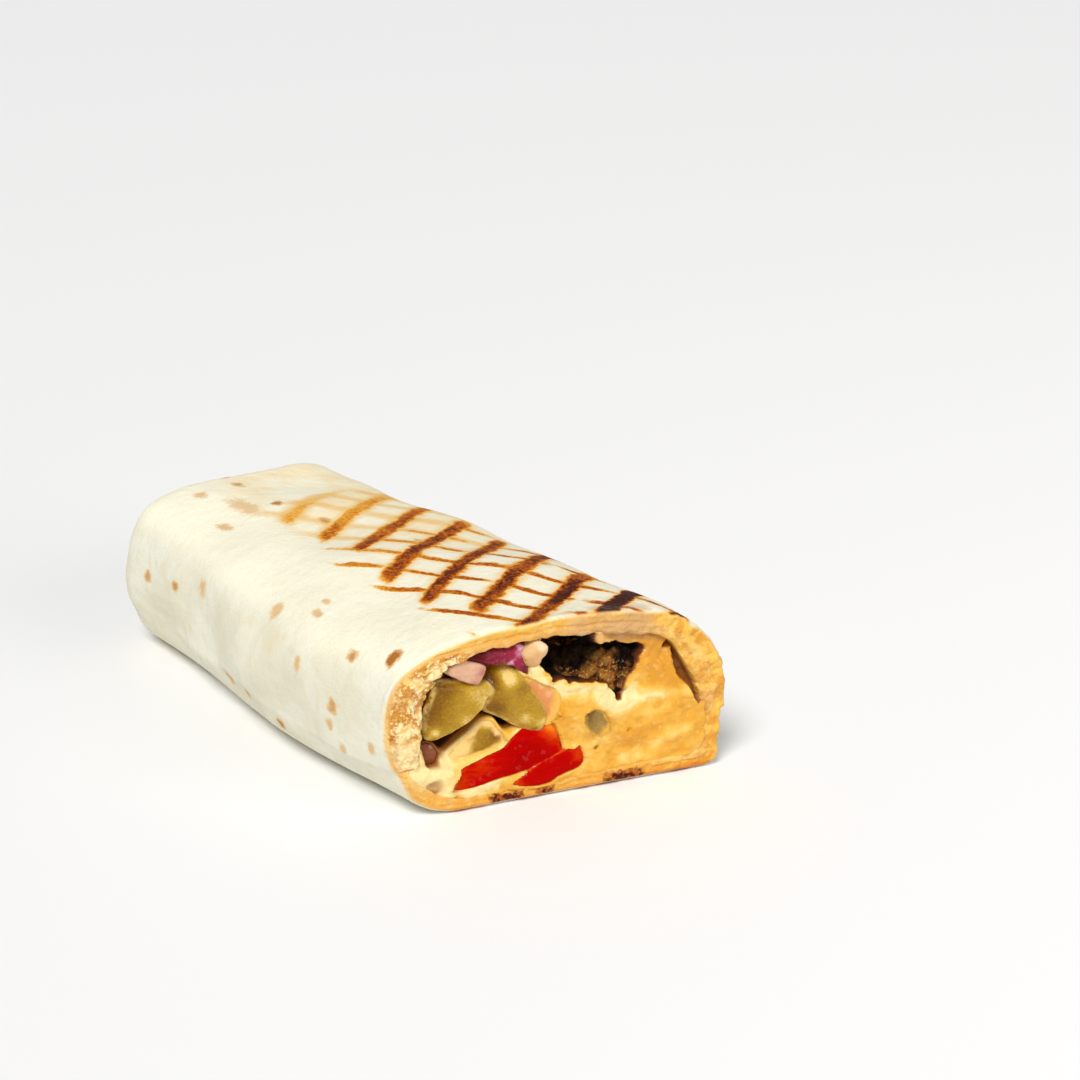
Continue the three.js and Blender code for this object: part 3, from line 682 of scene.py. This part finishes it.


# The cut pieces: corners of the outline at the cut, the depth of the face behind the cut, how far its middle
# stands out over its rim, the depth at which the piece ends, the knife's slanting cuts over the face, its tone
# from 0 for dark to 1 for light with the spots where that differs, and where a film of sauce covers it, as a
# direction and a distance from the middle. On the pickles and onions the tone spots are partly the piece's own
# tone and partly painted highlights and painted shade, lighter or darker where light falls on the face.
PIECES = {
    "pickle_a": dict(
        outline=[(-22, 22.6), (-21.4, 23.5), (-19.5, 23.8), (-16.5, 23.4), (-12.4, 22.6), (-11.4, 22.2),
            (-11.4, 21.2), (-12.6, 19.3), (-13.3, 17.7), (-16, 15.5), (-19, 14.1), (-22.3, 13.3), (-22.9, 13.5),
            (-23.6, 16.4), (-23.2, 19.6)],
        face=0.6, dome=0.3, reach=46, cuts=[(84, 3.2, 1.0), (-68, 3.8, 0.3), (190, 4.4, 0.6)], tone=0.62,
        spots=[(-20, 22.8, 3, -0.45), (-23.2, 18.4, 3, -0.5), (-13, 19.8, 2.4, 0.3), (-21.8, 15, 0.8, 0.55),
            (-16.5, 16.2, 1.2, 0.25), (-15.6, 21.4, 1.4, 0.15)]),
    "pickle_b": dict(
        outline=[(-13.2, 24), (-12.8, 24.8), (-11, 25.3), (-8.4, 24.9), (-7.6, 24.4), (-6.9, 23.4), (-5.4, 21),
            (-3.6, 18.1), (-2.2, 15.8), (-2, 15), (-2.2, 13.6), (-3, 12), (-3.8, 11.6), (-4.9, 11.8),
            (-7.4, 13.4), (-10.1, 15.3), (-13, 17), (-13.3, 18), (-12.8, 19.6), (-11.9, 21.5)],
        face=0.3, dome=0.3, reach=52, cuts=[(104, 3.6, 1.1), (-128, 2.2, 0.7), (25, 3.4, 0.6)], tone=0.62,
        spots=[(-12.2, 23.2, 2.2, -0.9), (-9, 22.6, 1.5, 0.6), (-11.4, 17.8, 2, -0.45), (-3.2, 13.4, 1.1, 0.3),
            (-6.4, 14.8, 1.2, 0.3), (-4.4, 12.4, 0.5, -0.5), (-6.6, 20.4, 1.5, -0.2)]),
    "pickle_c": dict(
        outline=[(-12.6, 15.3), (-11, 15.1), (-9.9, 13.3), (-8.5, 11.8), (-8.6, 10.6), (-10.4, 9.8), (-14.2, 9),
            (-18.6, 8.6), (-19.2, 9.8), (-16.8, 11.6), (-14.6, 13.2)],
        face=1.8, dome=0.3, reach=40, cuts=[(125, 1.0, 0.5), (10, 3.6, 0.4)], tone=0.42,
        spots=[(-12.4, 14.6, 1.4, 0.4), (-17, 10.4, 2, 0.4), (-10, 12.2, 1.6, -0.3)], film=(170, 0.4)),
    "pickle_d": dict(
        outline=[(3.8, 12.5), (4.3, 14.3), (6, 15), (8, 14.2), (9.3, 12), (9.5, 9.6), (7.9, 8.4), (5.8, 9),
            (4.6, 10.8)],
        face=0.5, dome=0.2, reach=24, cuts=[(150, 1, 0.2)], tone=0.5,
        spots=[(4.8, 13.4, 1.4, -0.5), (7.4, 11, 1, 0.2)], film=(-50, 0.8)),
    "tomato_a": dict(
        outline=[(-19.2, 3.6), (-18.8, 5), (-16.8, 7.7), (-13.2, 9.1), (-10, 10), (-8.2, 11.5), (-6.2, 12.8),
            (-2.6, 13.6), (-0.7, 12.9), (0.4, 9.7), (1.1, 6.8), (-1.2, 5.6), (-4.9, 5.2), (-8.6, 4.7), (-13, 4),
            (-15.6, 3.2), (-17.6, 2.9)],
        face=0.5, dome=0.3, reach=60, cuts=[(100, 2.4, 0.4), (200, 5.5, 0.25)], tone=0.3,
        spots=[(-1, 12.4, 2.4, 0.8), (-18.6, 4.6, 2.4, 0.5), (-13.6, 7.6, 2, 0.25), (-6, 8, 4, -0.25)],
            film=(193, 9.2)),
    "tomato_b": dict(
        outline=[(-9, 3.2), (-6.4, 4.6), (-4.6, 6), (-1.3, 7.1), (0.5, 7.8), (1.4, 8), (2.5, 7.6), (3.7, 8.3),
            (4.6, 6.2), (4.6, 4.5), (1.3, 3.5), (-0.5, 3), (-1.6, 2.3), (-3, 2), (-5, 2.1), (-7.4, 2.6)],
        face=0.1, dome=0.3, reach=34, cuts=[(15, 3.6, 0.15)], tone=0.25,
        spots=[(3.4, 6.6, 1.4, 0.4), (-8, 3.2, 1.2, 0.4)]),
    "onion_a": dict(
        outline=[(-17, 27.2), (-15.6, 28.2), (-11, 28.4), (-6.7, 28.3), (-4.6, 28), (-5, 26.8), (-5.5, 25.3),
            (-5, 23.4), (-4.9, 22.2), (-6.2, 23), (-7.4, 24.3), (-9.4, 24.7), (-12.1, 25.2), (-14.7, 26.2)],
        face=1.2, dome=0.7, reach=30, cuts=[(90, 1.2, 0.5)], tone=0.45,
        spots=[(-15.5, 27.2, 3, -0.5), (-7.2, 26.4, 2, 0.35), (-8.6, 25.2, 0.6, 0.5), (-6.6, 27.8, 0.6, 0.4),
            (-5.6, 23.4, 1.2, -0.3)]),
    "onion_b": dict(
        outline=[(-20.1, 25.4), (-17.9, 27), (-16.4, 27.1), (-12.6, 25.4), (-13.1, 24), (-14.3, 22.3),
            (-15.7, 22.8), (-17.7, 23.8)],
        face=0.3, dome=0.2, reach=18, cuts=[(75, 1.2, 0.7), (180, 2.6, 0.5)], tone=0.65,
        spots=[(-13.4, 24.4, 1.2, -0.5), (-15.2, 23, 1.0, -0.3)]),
    "onion_c": dict(
        outline=[(-5.9, 24.8), (-6.6, 26.6), (-5.7, 27.9), (-4.7, 28.5), (-3.3, 28.5), (-2, 27.4), (-2.4, 26),
            (-3.3, 25.2), (-3.7, 24), (-5.2, 23.9)],
        face=0.3, dome=0.5, reach=22, cuts=[(80, 1.6, 0.5), (-110, 1.6, 0.5)], tone=0.7,
        spots=[(-3.4, 27.8, 0.9, 0.5), (-5.4, 25, 1.2, -0.4), (-4.4, 26.4, 0.8, -0.2)]),
    "onion_d": dict(
        outline=[(-6.6, 22.6), (-4.6, 22.2), (-2.8, 20.9), (-0.7, 19.8), (0.8, 17.9), (0.8, 15.6), (-0.3, 13),
            (-2.4, 12.6), (-3.8, 15.4), (-5.4, 19)],
        face=0.9, dome=0.1, reach=38, cuts=[(200, 2.4, 0.3)], tone=0.5,
        spots=[(-2.9, 20.4, 0.8, 0.5), (-1.6, 18.6, 1.2, 0.3)], film=(-10, 1)),
    "onion_e": dict(
        outline=[(-23.7, 12.4), (-20.8, 12), (-19.8, 10), (-20.4, 8.2), (-22.6, 8.2), (-23.8, 9.6)],
        face=3.0, dome=0.4, reach=26, cuts=[(100, 0.8, 0.4)], tone=0.5, spots=[]),
}
NO_FILM = (0, 99)
HUGGED = ("pickle_c", "pickle_d", "tomato_a", "tomato_b", "onion_d", "onion_e")  # hummus rises up to these
BLENDED = ("pickle_c", "pickle_d", "onion_d")  # and laps over these
HUG, LAP, BED = 1.6, 0.4, 3  # how far off it starts to rise, how far it laps over, how deep a piece's bed is

step = np.roll(pocket_outline, -1, 0) - np.roll(pocket_outline, 1, 0)
outward = np.stack([-step[:, 1], step[:, 0]], -1) / np.linalg.norm(step, axis=-1, keepdims=True)

FACE_RINGS = 120
FACE_MIDDLE = 14  # its height
FACE_OVERLAP, SIDE_GAP = 0.3, 0.2  # into the bread at the face, off the bread behind it
share = np.linspace(0, 1, FACE_RINGS + 1)[1:, None] ** 0.85
rim_u, rim_z = (pocket_outline + FACE_OVERLAP * outward).T
u = rim_u * share
z = FACE_MIDDLE + (rim_z - FACE_MIDDLE) * share
face_place = np.stack([u, z, 0 * u], -1)
hollow = smooth(1.3 - np.hypot((u - HOLLOW_U) / HOLLOW_WIDE, (z - HOLLOW_Z) / HOLLOW_HIGH), 0, 0.5)
hollow = np.maximum(hollow, smooth(z, 23, 24.5) * (1 - smooth(u, -4.5, -2.5)))
sink = 0.25 + HOLLOW_DEPTH * hollow
sink = sink + 0.55 * rough(face_place * (0.8, 1, 1), 5.5, 81, 2) + 0.28 * rough(face_place, 1.8, 83)
ridge = 14.8 + 0.04 * (u - 14)
sink += 0.16 * np.maximum(0, z - ridge) * smooth(u, 7.5, 12)
for name in HUGGED:
    piece = PIECES[name]
    outline = softened(piece["outline"])
    near = smooth(inside(outline, u, z), -HUG, 0)
    height = piece["face"] - 0.1 + slope(u, z, outline.mean(0), piece["cuts"])
    sink += (np.minimum(sink, height) - sink) * near
tongue = smooth(inside([(-5.2, 24.8), (-3.6, 24.4), (-3.1, 22.2), (-3.4, 20.4), (-4.9, 21.2)], u, z), -0.8, 0.3)
sink += (0.5 - sink) * tongue
torn = inside(CAVITY, u, z) + 0.4 * rough(face_place, 2.2, 91, 2) + 0.25 * rough(face_place, 0.9, 92, 1)
well = 3 * smooth(torn, 0, 0.6) + (CAVITY_DEPTH - 3) * smooth(torn, 0.5, 2.5)
sink = sink + well - 0.25 * bell(torn + 0.7, 0.9) * (1 - hollow)
gap = inside(WALL_GAP, u, z) + 0.3 * rough(face_place, 1.8, 93) - 1.5 * smooth(z, 23, 25.5)
sink = sink + WALL_GAP_DEPTH * smooth(gap, 0, 0.9) - 0.3 * bell(gap + 0.5, 0.6)
for name, piece in PIECES.items():
    within = inside(softened(piece["outline"]), u, z) - (LAP if name in BLENDED else 0)
    under_piece = np.maximum(sink, piece["face"] + 0.6) + BED * smooth(within, 0, 0.9)
    sink = np.where(within > 0, under_piece, sink)
for pit_u, pit_z, radius, deep in ((6.7, 7.1, 0.4, 1.3), (-22.0, 4.6, 1.6, 0.7), (12.5, 9.5, 0.4, 0.4)):
    sink += deep * smooth(1.3 - np.hypot(u - pit_u, z - pit_z) / radius, 0, 0.6)
face_rings = in_roll(u, z, sink)
pocket_u, pocket_z = pocket_outline.T
pocket_length = POCKET_END - POCKET_ROUND - 1 - cut_y(pocket_u)
side_rings = [in_roll(*(pocket_outline - SIDE_GAP * outward).T, part * pocket_length)
              for part in (0.1, 0.2, 0.35, 0.5, 0.65, 0.82, 1)]
tail_ring = in_roll(pocket_u * 0.8, FACE_MIDDLE + (pocket_z - FACE_MIDDLE) * 0.8, pocket_length + 3)
hummus_rings = np.concatenate([face_rings, side_rings, [tail_ring]])

# How creamy the paste is, from mustard at -1 to nearly white at 1, with painted highlights on the lip below the
# hollow and along the ridge; and the painted shade in the hollows round the pickles, in the gap along the right
# wall, in a pit and round the grey pickle.
# Painted highlights: the paler lip below the hollow over the meat and the paler band along the ridge; the rest is
# the paste's own cream and mustard.
creamy = 1.2 * bell(torn + 1.3, 1.3) * (z < 22) + 0.9 * bell(z - ridge, 0.9) * smooth(u, 8, 13)
creamy += 0.8 * bell(z - 6.9 - 0.3 * (u - 20), 1.3) * smooth(u, 15, 18) * (1 - smooth(u, 22, 25))
creamy = creamy + 0.7 * (1 - smooth(u, -17, -8)) - 0.9 * smooth(z, ridge + 1, ridge + 3) * smooth(u, 10, 14)
creamy = creamy - 0.5 * bell(u - 1, 3) + 0.5 * rough(face_place, 4, 95) - 0.4 * smooth(u, 10, 18)
creamy = creamy + tongue + soft_spots(u, z, [
    (3, 17.6, 2.2, 0.7), (-0.5, 19, 1.5, 0.5), (7.6, 16.6, 1.4, 0.5), (13, 17, 1.2, 0.4), (18, 15.4, 2, 0.5),
    (20.5, 9.5, 1.5, 0.5), (17.5, 7.4, 1.2, 0.5), (2.6, 10.4, 1.4, 0.4), (12, 11.5, 3.5, -0.4),
    (-12, 3.6, 3, 0.3), (-24, 6.8, 2, 0.4), (17.5, 20.5, 1.8, -0.5)])
# Painted shade: the gap along the right wall, a pit, the deep hollows round the pickles and round the grey
# pickle.
shade = np.maximum(0.8 * smooth(gap, -0.1, 0.5), 0.35 * smooth(1.5 - np.hypot(u + 22, z - 4.6) / 1.4, 0, 1))
shade = np.maximum(shade, smooth(sink, 1.6, 4.2) * (u < 0) * (torn < 0))
shade = np.maximum(shade, soft_spots(u, z, [(6.9, 11.4, 3.0, 0.3)]))
face_facts = {"cream": creamy, "torn": np.clip(torn, -2, 2), "shade": shade}
face_facts = {label: on_rings(hummus_rings, 0, values) for label, values in face_facts.items()}
hummus_piece = ring_mesh("hummus_filling", in_roll(0.0, FACE_MIDDLE, float(sink[0].mean())), hummus_rings,
                         in_roll(0.0, FACE_MIDDLE, POCKET_END - 2), **face_facts)

paste = Finish("hummus")
creaminess = paste.attribute("cream") + paste.wobble(2.6, 2.0, detail=4)
soaked = (paste.axis("Z") * 1000 + paste.wobble(3, 3)).rise(24.5, 27)
shaded = paste.attribute("shade")
opened = paste.attribute("torn")
# Painted shade in the hollow over the meat: a brown band at its edge, then nearly black.
darkness = opened.rise(0.05, 0.4)
body = paste.layers(
    paste.ramp(creaminess * 0.5 + 0.5, (0.0, (216, 150, 34)), (0.3, (228, 166, 46)), (0.5, (234, 178, 66)),
               (0.75, (240, 200, 104)), (1.0, (246, 221, 156))),
    (paste.cloud(1.1).rise(0.58, 0.72) * 0.25, (248, 222, 154)),
    (soaked * 0.7, (222, 176, 116)),
    # Painted shade, brown and then nearly black, where the shade attribute is high.
    (shaded.rise(0.0, 0.6), (160, 96, 32)),
    (shaded.rise(0.7, 1.0) * 0.95, (44, 14, 6)),
    # Painted shade: brown at the hollow's edge, nearly black inside it.
    (opened.rise(-0.05, 0.15), (120, 56, 12)),
    (darkness, (8, 2, 1)),
)
smear = paste.bump(paste.cloud(2.6, 2), 0.3, under=paste.bump(paste.cloud(0.6), 0.08))
paste.surface(body, (0.32 + paste.cloud(3) * 0.25).largest(darkness), smear, 0.25,
              scatter=(0.2, (0.004, 0.0022, 0.0008), 0.4), coat=(0.35 - darkness.largest(shaded) * 0.35, 0.12))
hummus_piece.data.materials.append(paste.material)
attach(hummus_piece, "root")
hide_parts("hummus")


# ---- Kafta ----
# A hand-pressed log of minced lamb and beef with parsley and onion, grilled brown. It sits back in the hollow,
# and its broken face slopes back towards the top and shows coarse crumbs of meat that shine with fat.
KAFTA = [(-1.4, 20.6), (2, 18.4), (6.5, 18), (10.6, 15), (13.8, 17.4), (15, 21.4), (12.8, 24.4), (8, 25.2),
         (3, 24.8), (-0.6, 23.4)]
KAFTA_FACE, KAFTA_REACH = 1.2, 78  # the depths of its face and of its end
KAFTA_COLUMNS, KAFTA_FACE_RINGS = 240, 76


def even_outline(corners, count):
    """A softened outline as evenly spaced points: each lies at its share of the whole way round."""
    points = softened(corners)
    closed = np.vstack([points, points[:1]])
    way = np.concatenate([[0], np.cumsum(np.linalg.norm(np.diff(closed, axis=0), axis=1))])
    at = np.arange(count) / count * way[-1]
    return np.stack([np.interp(at, way, closed[:, 0]), np.interp(at, way, closed[:, 1])], -1)


def log_rings(outline, face_depth, reach, face_rings):
    """Rings of a piece that runs into the roll: the outline shrunk to growing shares over its face, at the
    depth that face_depth gives for a place and share, then along its side, close together near the face, and
    shrinking to its tail. Also the share of each ring, 1.2 along the side."""
    middle = outline.mean(0)
    rings, shares = [], []
    for share in np.linspace(0.03, 1, face_rings):
        u, z = (middle + (outline - middle) * share).T
        rings.append(in_roll(u, z, face_depth(u, z, share)))
        shares.append(share)
    rim = face_depth(*outline.T, 1.0)
    along = np.concatenate([np.linspace(0.3, 5, 15), np.linspace(8, reach - 6 - rim.mean(), 7)])
    for way, shrink in [*((way, 1) for way in along), (reach - 2 - rim.mean(), 0.8), (reach - rim.mean(), 0.4)]:
        rings.append(in_roll(*(middle + (outline - middle) * shrink).T, rim + way))
        shares.append(1.2)
    rings = np.array(rings)
    return rings[0].mean(0), rings, rings[-1].mean(0), np.array(shares)[:, None] + 0 * rings[..., 0]


def raised(rings, height):
    """Rings moved by a height along their normals, the cross product of the step along a ring and the step
    from ring to ring. It fades in over the first rings round the middle."""
    normals = np.cross(np.roll(rings, -1, 1) - np.roll(rings, 1, 1), np.gradient(rings, axis=0))
    normals = normals / np.maximum(np.linalg.norm(normals, axis=-1, keepdims=True), 1e-9)
    if normals[5, :, 1].mean() > 0:
        normals = -normals
    fade = np.minimum(1, np.linspace(0, len(rings) / 4, len(rings)))[:, None, None]
    return rings + normals * height[..., None] * fade


def meat_depth(u, z, share):
    """The meat's face: rounded at its rim and falling back towards the top and the left."""
    return KAFTA_FACE + 0.8 * share**4 + 0.5 * np.maximum(0, z - 20.5) + 0.4 * np.maximum(0, 8 - u)


kafta_outline = even_outline(KAFTA, KAFTA_COLUMNS)
first, rings, last, shares = log_rings(kafta_outline, meat_depth, KAFTA_REACH, KAFTA_FACE_RINGS)
crumbs = knobs(rings + 0.5 * rough(rings, 2.5, 109)[..., None], 2.3, 101)
fine_crumbs = knobs(rings + 0.4 * rough(rings, 1.6, 107)[..., None], 0.8, 103)
height = (1 - crumbs**2 * 1.4) + 0.45 * (1 - fine_crumbs**2 * 1.4) + 0.4 * rough(rings, 3.6, 105) - 0.7
spread = np.minimum(shares, 1)[..., None] * (kafta_outline - kafta_outline.mean(0)) + kafta_outline.mean(0)
lit = soft_spots(spread[..., 0], spread[..., 1], [
    (9.5, 20.4, 3.4, 1.1), (12, 18.4, 2.4, 0.6), (2.5, 19.6, 2.4, 0.9), (6, 19.2, 2, 0.5),
    (10.8, 16.2, 1.4, -0.5)])
kafta_piece = ring_mesh("kafta_log", first, raised(rings, height), last,
                        knob=np.clip(height, -1.5, 1.5), lit=np.where(shares > 1, 1, lit))

meat = Finish("kafta")
knob = meat.attribute("knob")
unlit = (meat.attribute("lit") + meat.wobble(1.5, 0.6)).fall(0.25, 0.85)
flesh = meat.layers(
    (150, 92, 28),
    (meat.cloud(1.8).rise(0.38, 0.62), (88, 42, 8)),
    # Painted light on the crumbs of meat: their raised tops are painted lighter as painted highlight, and the
    # clefts between them nearly black as painted shade.
    (knob.rise(0.05, 0.6) * 0.5, (176, 124, 52)),
    (knob.fall(-0.5, 0.15), (24, 7, 1)),
    # Painted highlight: small pale specks.
    (meat.cloud(0.5).rise(0.56, 0.66) * 0.6, (206, 160, 84)),
    (unlit * 0.97, (7, 2, 1)),
)
fat = meat.cloud(0.7).rise(0.55, 0.66) * (1 - unlit)
meat.surface(flesh, 0.5 + unlit * 0.5, meat.bump(meat.cloud(0.5, 3), 0.4), 0.12, coat=(fat * 0.6, 0.18))
kafta_piece.data.materials.append(meat.material)
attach(kafta_piece, "root")
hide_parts("kafta")


# ---- Pickles ----
# Pickled cucumber cut into thick sticks, so the cut face is a corner of the cucumber with flat knife cuts: firm,
# wet, olive flesh that lets light in, with sides painted darker, partly for the skin and partly as painted shade
# where they go into the filling, and paler and grainy along the edges, the paler part partly a painted highlight.


STRIP_COLUMNS, STRIP_FACE_RINGS = 180, 40


def cut_strip(name, relief):
    """A strip that runs into the roll: its face is level to near the rim and bevelled there, with the knife's
    slanting cuts over it, and relief moves the whole strip along its normals."""
    piece = PIECES[name]
    outline = even_outline(piece["outline"], STRIP_COLUMNS)
    middle = outline.mean(0)

    def face_depth(u, z, share):
        bevel = (0.05 if name in BLENDED else 0.4) * (max(0, share - 0.88) / 0.12) ** 2
        return piece["face"] - piece["dome"] * (1 - share**2) + bevel + slope(u, z, middle, piece["cuts"])

    first, rings, last, rim = log_rings(outline, face_depth, piece["reach"], STRIP_FACE_RINGS)
    u, z = np.moveaxis(np.minimum(rim, 1)[..., None] * (outline - middle) + middle, -1, 0)
    film_direction, film_start = piece.get("film", NO_FILM)
    film = slope(u, z, middle, [(film_direction, film_start, 1)]) * (rim <= 1)
    if name in HUGGED:
        film = np.maximum(film, 2.2 * smooth(rim, 0.45, 0.98) if name in BLENDED else 0.5 * smooth(rim, 0.93, 1))
    tone = piece["tone"] + soft_spots(u, z, piece["spots"])
    return ring_mesh(name + "_cut", first, raised(rings, relief(rings)), last, rim=rim, film=film, tone=tone)


def sauced(finish, flesh, sauce=(240, 194, 108), strength=1.0):
    """Flesh under a film of sauce that thickens in blotches towards the side it covers."""
    film = finish.attribute("film")
    cover = (film * 0.6 + finish.wobble(1.5, 1.4)).rise(0.1, 1.1) * (film * 4).rise(0, 1)
    return finish.layers(flesh, (cover * strength, sauce))


def put_in(piece, node, finish):
    """A finished filling takes its material, rides on the wrap and stands for its CAD solid."""
    piece.data.materials.append(finish.material)
    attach(piece, "root")
    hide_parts(node)


def pickle_relief(rings):
    """Slight hollows of the knife and a fine grain."""
    return 0.12 * rough(rings, 3.5, 111) + 0.05 * rough(rings, 0.8, 113, 2)


def pickle_finish(name, deep, dark, light, edge, sauce):
    """Olive flesh that follows the tone from dark to light, with grainy seed marks, paler edges partly painted as
    a highlight, and sides painted darker, partly skin and partly painted shade.
    """
    pickle = Finish(name)
    rim = pickle.attribute("rim")
    tone = pickle.attribute("tone") + pickle.wobble(2.4, 0.3) + pickle.wobble(0.35, 0.45)
    flesh = pickle.ramp(tone, (0.0, deep), (0.3, dark), (0.75, light), (1.0, edge))
    # Paler edges, partly a painted highlight; then the sides painted darker, partly the skin and partly painted
    # shade.
    pale_edge = rim.rise(0.84, 0.97) * rim.fall(1.0, 1.15) * pickle.cloud(1.6).rise(0.34, 0.56)
    flesh = pickle.layers(flesh, (pale_edge * 0.7, edge), (rim.rise(1.05, 1.2) * 0.6, (112, 74, 14)))
    wet_skin = pickle.bump(pickle.cloud(1.6), 0.25, under=pickle.bump(pickle.cloud(0.4, 2), 0.06))
    glints = pickle.cloud(0.5).rise(0.56, 0.66) * 0.6
    pickle.surface(sauced(pickle, flesh, sauce), 0.25 + pickle.cloud(1.5) * 0.2, wet_skin, 0.12,
                   scatter=(0.15, (0.003, 0.002, 0.0003), 0.4), coat=(0.12 + glints, 0.08))
    return pickle


green = pickle_finish("pickle", (104, 60, 2), (142, 100, 2), (188, 148, 40), (230, 200, 122), (240, 200, 124))
dull = pickle_finish("dull_pickle", (104, 78, 34), (130, 102, 46), (168, 136, 70), (206, 170, 96), (236, 180, 74))
for name in ("pickle_a", "pickle_b", "pickle_c"):
    put_in(cut_strip(name, pickle_relief), name, green)
put_in(cut_strip("pickle_d", pickle_relief), "pickle_d", dull)


# ---- Tomato ----
# Strips of ripe tomato wall with the seeds taken out: smooth, very wet and deep red, with faint paler veins
# along the flesh and a soft rounded edge.


def tomato_relief(rings):
    """Soft swellings and faint veins that run along the strip."""
    veins = np.sin(3.0 * rings[..., 2] + 0.8 * rings[..., 0] + rough(rings, 3, 121))
    return 0.16 * rough(rings, 3.0, 123) + 0.03 * veins


tomato = Finish("tomato")
# From deep red to orange, as the tone and its listed spots give.
ripeness = tomato.attribute("tone") + tomato.wobble(1.3, 0.5, stretch=(0.4, 1, 1.8))
flesh = tomato.ramp(ripeness, (0.0, (164, 0, 0)), (0.35, (184, 4, 0)), (0.7, (206, 52, 2)),
                     (1.0, (230, 124, 30)))
pale_edge = tomato.attribute("rim").rise(0.86, 1.0) * tomato.cloud(1.4).rise(0.45, 0.6)
flesh = sauced(tomato, tomato.layers(flesh, (pale_edge * 0.5, (224, 92, 26))), strength=0.8)
tomato.surface(flesh, 0.3 + tomato.cloud(2) * 0.2, tomato.bump(tomato.cloud(1.4, 2), 0.2), 0.02,
               coat=(tomato.cloud(1.3).rise(0.6, 0.68) * 0.5, 0.06))
for name in ("tomato_a", "tomato_b"):
    put_in(cut_strip(name, tomato_relief), name, tomato)


# ---- Onion ----
# Slices of red onion layers. The side that was the layer's skin is glossy purple with fine pale lines, and the
# flesh is translucent and pinkish white; a piece that lies deep is painted brown as painted shade.


def onion_relief(rings):
    """Slight unevenness of a cut layer."""
    return 0.12 * rough(rings, 2.2, 131)


def onion_finish(name, dark, light, fleck, *sauce):
    """Flesh that follows the tone from dark to light in soft streaks along the slice, with paler flecks that are
    partly painted highlights.
    """
    onion = Finish(name)
    tone = onion.attribute("tone") + onion.wobble(2.2, 0.6, stretch=(0.5, 0.5, 2))
    flesh = onion.ramp(tone + onion.wobble(0.6, 0.3), (0.1, dark), (0.7, light), (1.0, fleck))
    fibres = onion.bump(onion.cloud(0.8, 2, (1, 1, 0.4)), 0.1)
    onion.surface(sauced(onion, flesh, *sauce), 0.25 + onion.cloud(1.5) * 0.2, fibres, 0.2,
                  scatter=(0.2, (0.004, 0.002, 0.002), 0.4), coat=(onion.cloud(0.8).rise(0.54, 0.64) * 0.7, 0.07))
    return onion


for name, slot, finish in (
    ("onion_a", "red_onion", onion_finish("red_onion", (86, 0, 8), (158, 34, 66), (222, 164, 190))),
    # Painted shade: a piece deep in the filling, painted brown.
    ("onion_e", "red_onion", onion_finish("shaded_onion", (118, 58, 36), (150, 88, 56), (186, 132, 96))),
    ("onion_d", "pale_onion",
     onion_finish("sauced_onion", (206, 122, 66), (222, 148, 86), (238, 190, 142), (238, 184, 84))),
    ("onion_b", "pale_onion", onion_finish("pale_onion", (184, 112, 102), (216, 174, 142), (234, 208, 184))),
    ("onion_c", "pale_onion", onion_finish("creamy_onion", (204, 150, 94), (222, 180, 126), (232, 206, 166))),
):
    put_in(cut_strip(name, onion_relief), name, finish)


# ---- Table, light and camera ----
# A plain pale table top in a bright studio: a large soft light high on the left, a weaker one from the front
# right, and white all round. The camera looks down on the cut end from the left with a long lens.
bpy.ops.mesh.primitive_plane_add(size=40, location=(0, 0, -0.0003))
table_top = bpy.context.object
table_top.name = "table_top"
top = Finish("table")
top.fill(top.shader, {"Base Color": (0.94, 0.94, 0.94, 1), "Roughness": 0.8})
table_top.data.materials.append(top.material)

world = bpy.data.worlds.new("studio")
world.use_nodes = True
background = world.node_tree.nodes["Background"].inputs
background["Color"].default_value = (1, 1, 1, 1)
background["Strength"].default_value = 0.33
bpy.context.scene.world = world
bpy.context.scene.view_settings.view_transform = "Standard"

for name, kind, settings, place in (
    ("key", "SUN", {"energy": 2.3, "angle": np.radians(24)}, (-0.42, -0.26, 0.62)),
    ("front", "AREA", {"energy": 1.5, "size": 0.4, "color": (1.0, 0.95, 0.87)}, (0.2, -0.65, 0.35)),
):
    data = bpy.data.lights.new(name, kind)
    for key, value in settings.items():
        setattr(data, key, value)
    lamp = bpy.data.objects.new(name, data)
    lamp.location = place
    lamp.rotation_euler = (-Vector(place)).to_track_quat("-Z", "Y").to_euler()
    bpy.context.scene.collection.objects.link(lamp)

AIM = np.array([7.5, 15.1, 39.5])  # in the roll's own millimetres
DISTANCE, AZIMUTH, ELEVATION = 433, np.radians(-39), np.radians(21.5)
back = np.array([np.sin(AZIMUTH) * np.cos(ELEVATION), -np.cos(AZIMUTH) * np.cos(ELEVATION), np.sin(ELEVATION)])
camera_data = bpy.data.cameras.new("camera")
camera_data.lens = 85
camera_data.sensor_width = 36
camera_data.clip_start = 0.01
camera = bpy.data.objects.new("camera", camera_data)
camera.location = (AIM + DISTANCE * back + to_frame) / 1000
camera.rotation_euler = Vector(-back).to_track_quat("-Z", "Y").to_euler()
bpy.context.scene.collection.objects.link(camera)
bpy.context.scene.camera = camera
